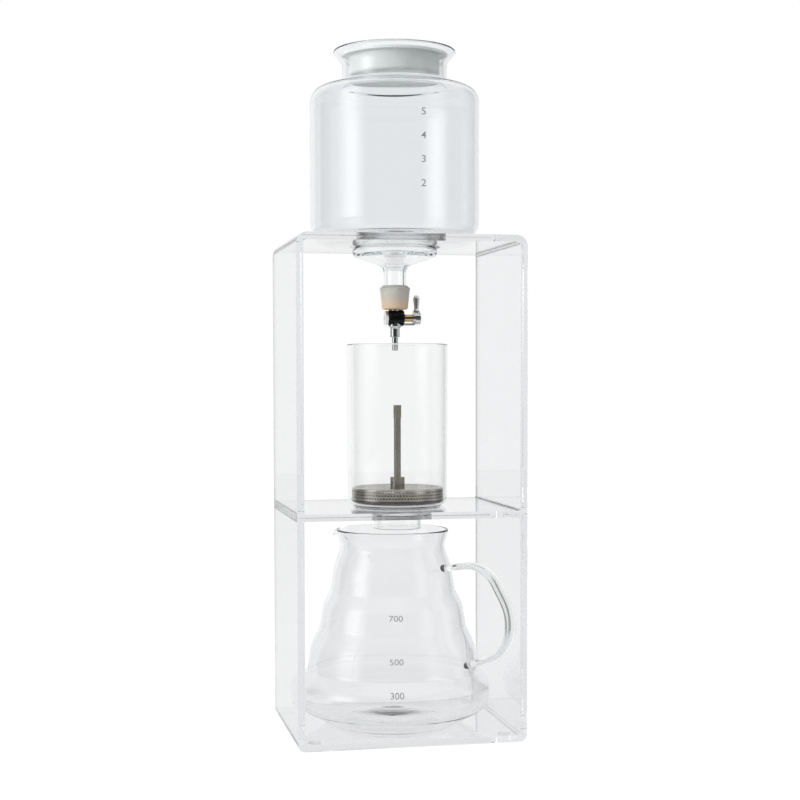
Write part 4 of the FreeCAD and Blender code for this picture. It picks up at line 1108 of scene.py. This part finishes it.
# %% Levels of the room
class Rays:
    """The kinds of ray that ask a shader for its light."""

    def __init__(self, tree):
        path = tree.add("ShaderNodeLightPath")
        kinds = {socket.name: Value(tree, socket) for socket in path.socket.node.outputs}
        self.camera, self.glossy = kinds["Is Camera Ray"], kinds["Is Glossy Ray"]
        self.transmission = kinds["Is Transmission Ray"]

    def level(self, seen, through, mirrored, bounced):
        """One level for the camera, one through glass, one in polish and one for plain light."""
        matt = self.glossy * mirrored + (1 - self.glossy) * bounced
        return self.camera * seen + (1 - self.camera) * (
            self.transmission * through + (1 - self.transmission) * matt)


def direction(tree, source):
    """The azimuth of a vector, 0 behind the tower and 180 degrees at the camera, and its three parts."""
    parts = tree.add("ShaderNodeSeparateXYZ", {}, {0: source})
    x, y, z = (Value(tree, socket) for socket in parts.socket.node.outputs)
    return tree.add("ShaderNodeMath", {"operation": "ARCTAN2"}, {0: x, 1: y}), (x, y, z)


def eased(value):
    """A value held between 0 and 1, with soft turns at both ends."""
    held = value.clamped()
    return held * held * (3 - 2 * held)


def around(azimuth, centre, core, soft):
    """1 within a core of degrees of an azimuth, easing to 0 over more degrees."""
    return eased((core + soft) / soft - abs(azimuth - centre * DEGREE) / (soft * DEGREE))


KEY_GLOW = 2.5
FILL_GLOW = 0.75
SLOT_DEPTH = 0.66
ROOM_DEPTH = 0.45


def lights_level(azimuth, height):
    """Two soft lights, the key at the left and the fill at the right, both above the height of the eye."""
    raised = eased((height + 0.06) / 0.16) * eased((0.70 - height) / 0.34)
    return raised * (around(azimuth, -106, 0, 25) * KEY_GLOW + around(azimuth, 134, 0, 22) * FILL_GLOW)


def mirrored_level(azimuth, height):
    """What polish shows: a pale backdrop, grey wings, a dark side at the camera and two soft lights."""
    backdrop = eased((98 * DEGREE - abs(azimuth)) / (14 * DEGREE))
    middle = eased((44 * DEGREE - abs(azimuth)) / (20 * DEGREE))
    overhead = eased((height - 0.70) / 0.12)
    walls = 0.05 + backdrop * (1 - overhead) * (0.50 + middle * 0.36) + overhead * 1.1
    return walls + lights_level(azimuth, height)


def through_level(azimuth, height):
    """What clear things show: white, with a dark slot at each side, a dim room at the camera and the lights.

    The slots and the room end below the ceiling, which is white for every azimuth.
    """
    slots = around(azimuth, 66, 12, 12) + around(azimuth, -66, 12, 12)
    room = eased((abs(azimuth) - 92 * DEGREE) / (16 * DEGREE))
    below_ceiling = eased((0.62 - height) / 0.22)
    darkness = (slots * SLOT_DEPTH + room * ROOM_DEPTH).clamped() * below_ceiling
    return 1 - darkness + lights_level(azimuth, height)


# %% [markdown]
# ## The floor
#
# The floor joins the room without a horizon: near the tower it is pale and takes the shadow, and
# further out it shows glass and polish just what the room shows in that direction.

# %% Floor
FLOOR_SIZE = 6.0
FLOOR_GLOW = 0.88
FLOOR_SEEN = 1.06
FLOOR_NEAR = 0.94
ground = new_mesh("pale_floor", np.array([[-1, -1, 0], [1, -1, 0], [1, 1, 0], [-1, 1, 0]]) * FLOOR_SIZE / 2,
                  np.array([[0, 1, 2, 3]]))
floor = placed("pale_floor", ground)
floor_paint = bpy.data.materials.new("pale_floor")
tree = Tree(floor_paint)
rays = Rays(tree)
azimuth, (x, y, z) = direction(tree, tree.place())
far = eased((tree.from_axis() - 0.16) / 0.30)
through = FLOOR_NEAR + far * (through_level(azimuth, z) - FLOOR_NEAR)
mirrored = FLOOR_NEAR + far * (mirrored_level(azimuth, z) - FLOOR_NEAR)
seen = (rays.camera + rays.glossy + rays.transmission).clamped()
matt = tree.add("ShaderNodeBsdfDiffuse", {}, {"Color": colour(0.9, 0.9, 0.9)})
glow = tree.add("ShaderNodeEmission", {}, {
    "Color": colour(1, 1, 1), "Strength": rays.level(FLOOR_SEEN, through, mirrored, FLOOR_NEAR)})
both = tree.add("ShaderNodeMixShader", {}, {0: seen * FLOOR_GLOW, 1: matt, 2: glow})
tree.add("ShaderNodeOutputMaterial", {}, {"Surface": both})
ground.materials.append(floor_paint)

# %% [markdown]
# ## Light
#
# The room lights everything evenly. Three large lamps give the light a direction: a strong one at
# the left, a weak one at the right and one overhead. Glass and polish don't show the lamps, since
# the room's levels already hold two soft lights for them.

# %% Room light
BOUNCED = 0.72
world = bpy.data.worlds.new("bright_room")
bpy.context.scene.world = world
tree = Tree(world)
rays = Rays(tree)
azimuth, (x, y, z) = direction(tree, tree.add("ShaderNodeTexCoord"))
sky = tree.add("ShaderNodeBackground", {}, {
    "Color": colour(1, 1, 1),
    "Strength": rays.level(1.0, through_level(azimuth, z), mirrored_level(azimuth, z), BOUNCED)})
tree.add("ShaderNodeOutputWorld", {}, {"Surface": sky})


# %% Softboxes
def softbox(name, azimuth_degrees, height, distance, size, power):
    """A rectangular lamp on a circle round the tower, aimed at its middle."""
    turn = azimuth_degrees * DEGREE
    lamp = bpy.data.lights.new(name, "AREA")
    lamp.shape, lamp.size, lamp.size_y, lamp.energy = "RECTANGLE", *size, power
    stand = placed(name, lamp)
    stand.location = (distance * math.sin(turn), -distance * math.cos(turn), height)
    aim = Vector((0, 0, 0.26)) - stand.location
    stand.rotation_euler = aim.to_track_quat("-Z", "Y").to_euler()
    stand.visible_camera = False
    stand.visible_glossy = False
    stand.visible_transmission = False


softbox("key_softbox", -72, 0.42, 1.1, (0.42, 1.1), 12.0)
softbox("fill_softbox", 54, 0.42, 1.2, (0.20, 1.1), 2.6)
softbox("top_softbox", 0, 1.5, 0.3, (0.8, 0.8), 2.0)

# %% [markdown]
# ## The camera
#
# It stands a little to the left, just above half the tower's height. A long lens keeps the case's
# uprights nearly parallel, and a shift of the lens brings the lid into the picture without a tilt.

# %% Camera
CAMERA_TURN = -11.45 * DEGREE
CAMERA_DISTANCE = 1.1339
CAMERA_HEIGHT = 0.2556
CAMERA_PITCH = 2.717 * DEGREE
CAMERA_ROLL = 0.119 * DEGREE
FOCAL_PIXELS = 1584.2
PICTURE = 800
CENTRE_PIXEL = (395.6, 450.1)
lens = bpy.data.cameras.new("camera")
lens.lens = FOCAL_PIXELS / PICTURE * lens.sensor_width
lens.shift_x = (PICTURE / 2 - CENTRE_PIXEL[0]) / PICTURE
lens.shift_y = (CENTRE_PIXEL[1] - PICTURE / 2) / PICTURE
camera = placed("camera", lens)
back = Vector((math.sin(CAMERA_TURN), -math.cos(CAMERA_TURN), 0))
camera.location = back * CAMERA_DISTANCE + Vector((0, 0, CAMERA_HEIGHT))
aim = -back * math.cos(CAMERA_PITCH) - Vector((0, 0, math.sin(CAMERA_PITCH)))
camera.rotation_mode = "QUATERNION"
tilt = Quaternion((0, 0, 1), -CAMERA_ROLL)
camera.rotation_quaternion = aim.to_track_quat("-Z", "Y") @ tilt
bpy.context.scene.camera = camera

# %% [markdown]
# ## The path of a ray
#
# A ray crosses many clear walls here and is mirrored between them. If it is given up too early
# the glass comes out black, so it may take more steps than usual.

# %% Picture settings
scene = bpy.context.scene
scene.view_settings.view_transform = "Standard"
scene.cycles.max_bounces = 32
scene.cycles.transmission_bounces = 32
scene.cycles.glossy_bounces = 16
scene.cycles.transparent_max_bounces = 16
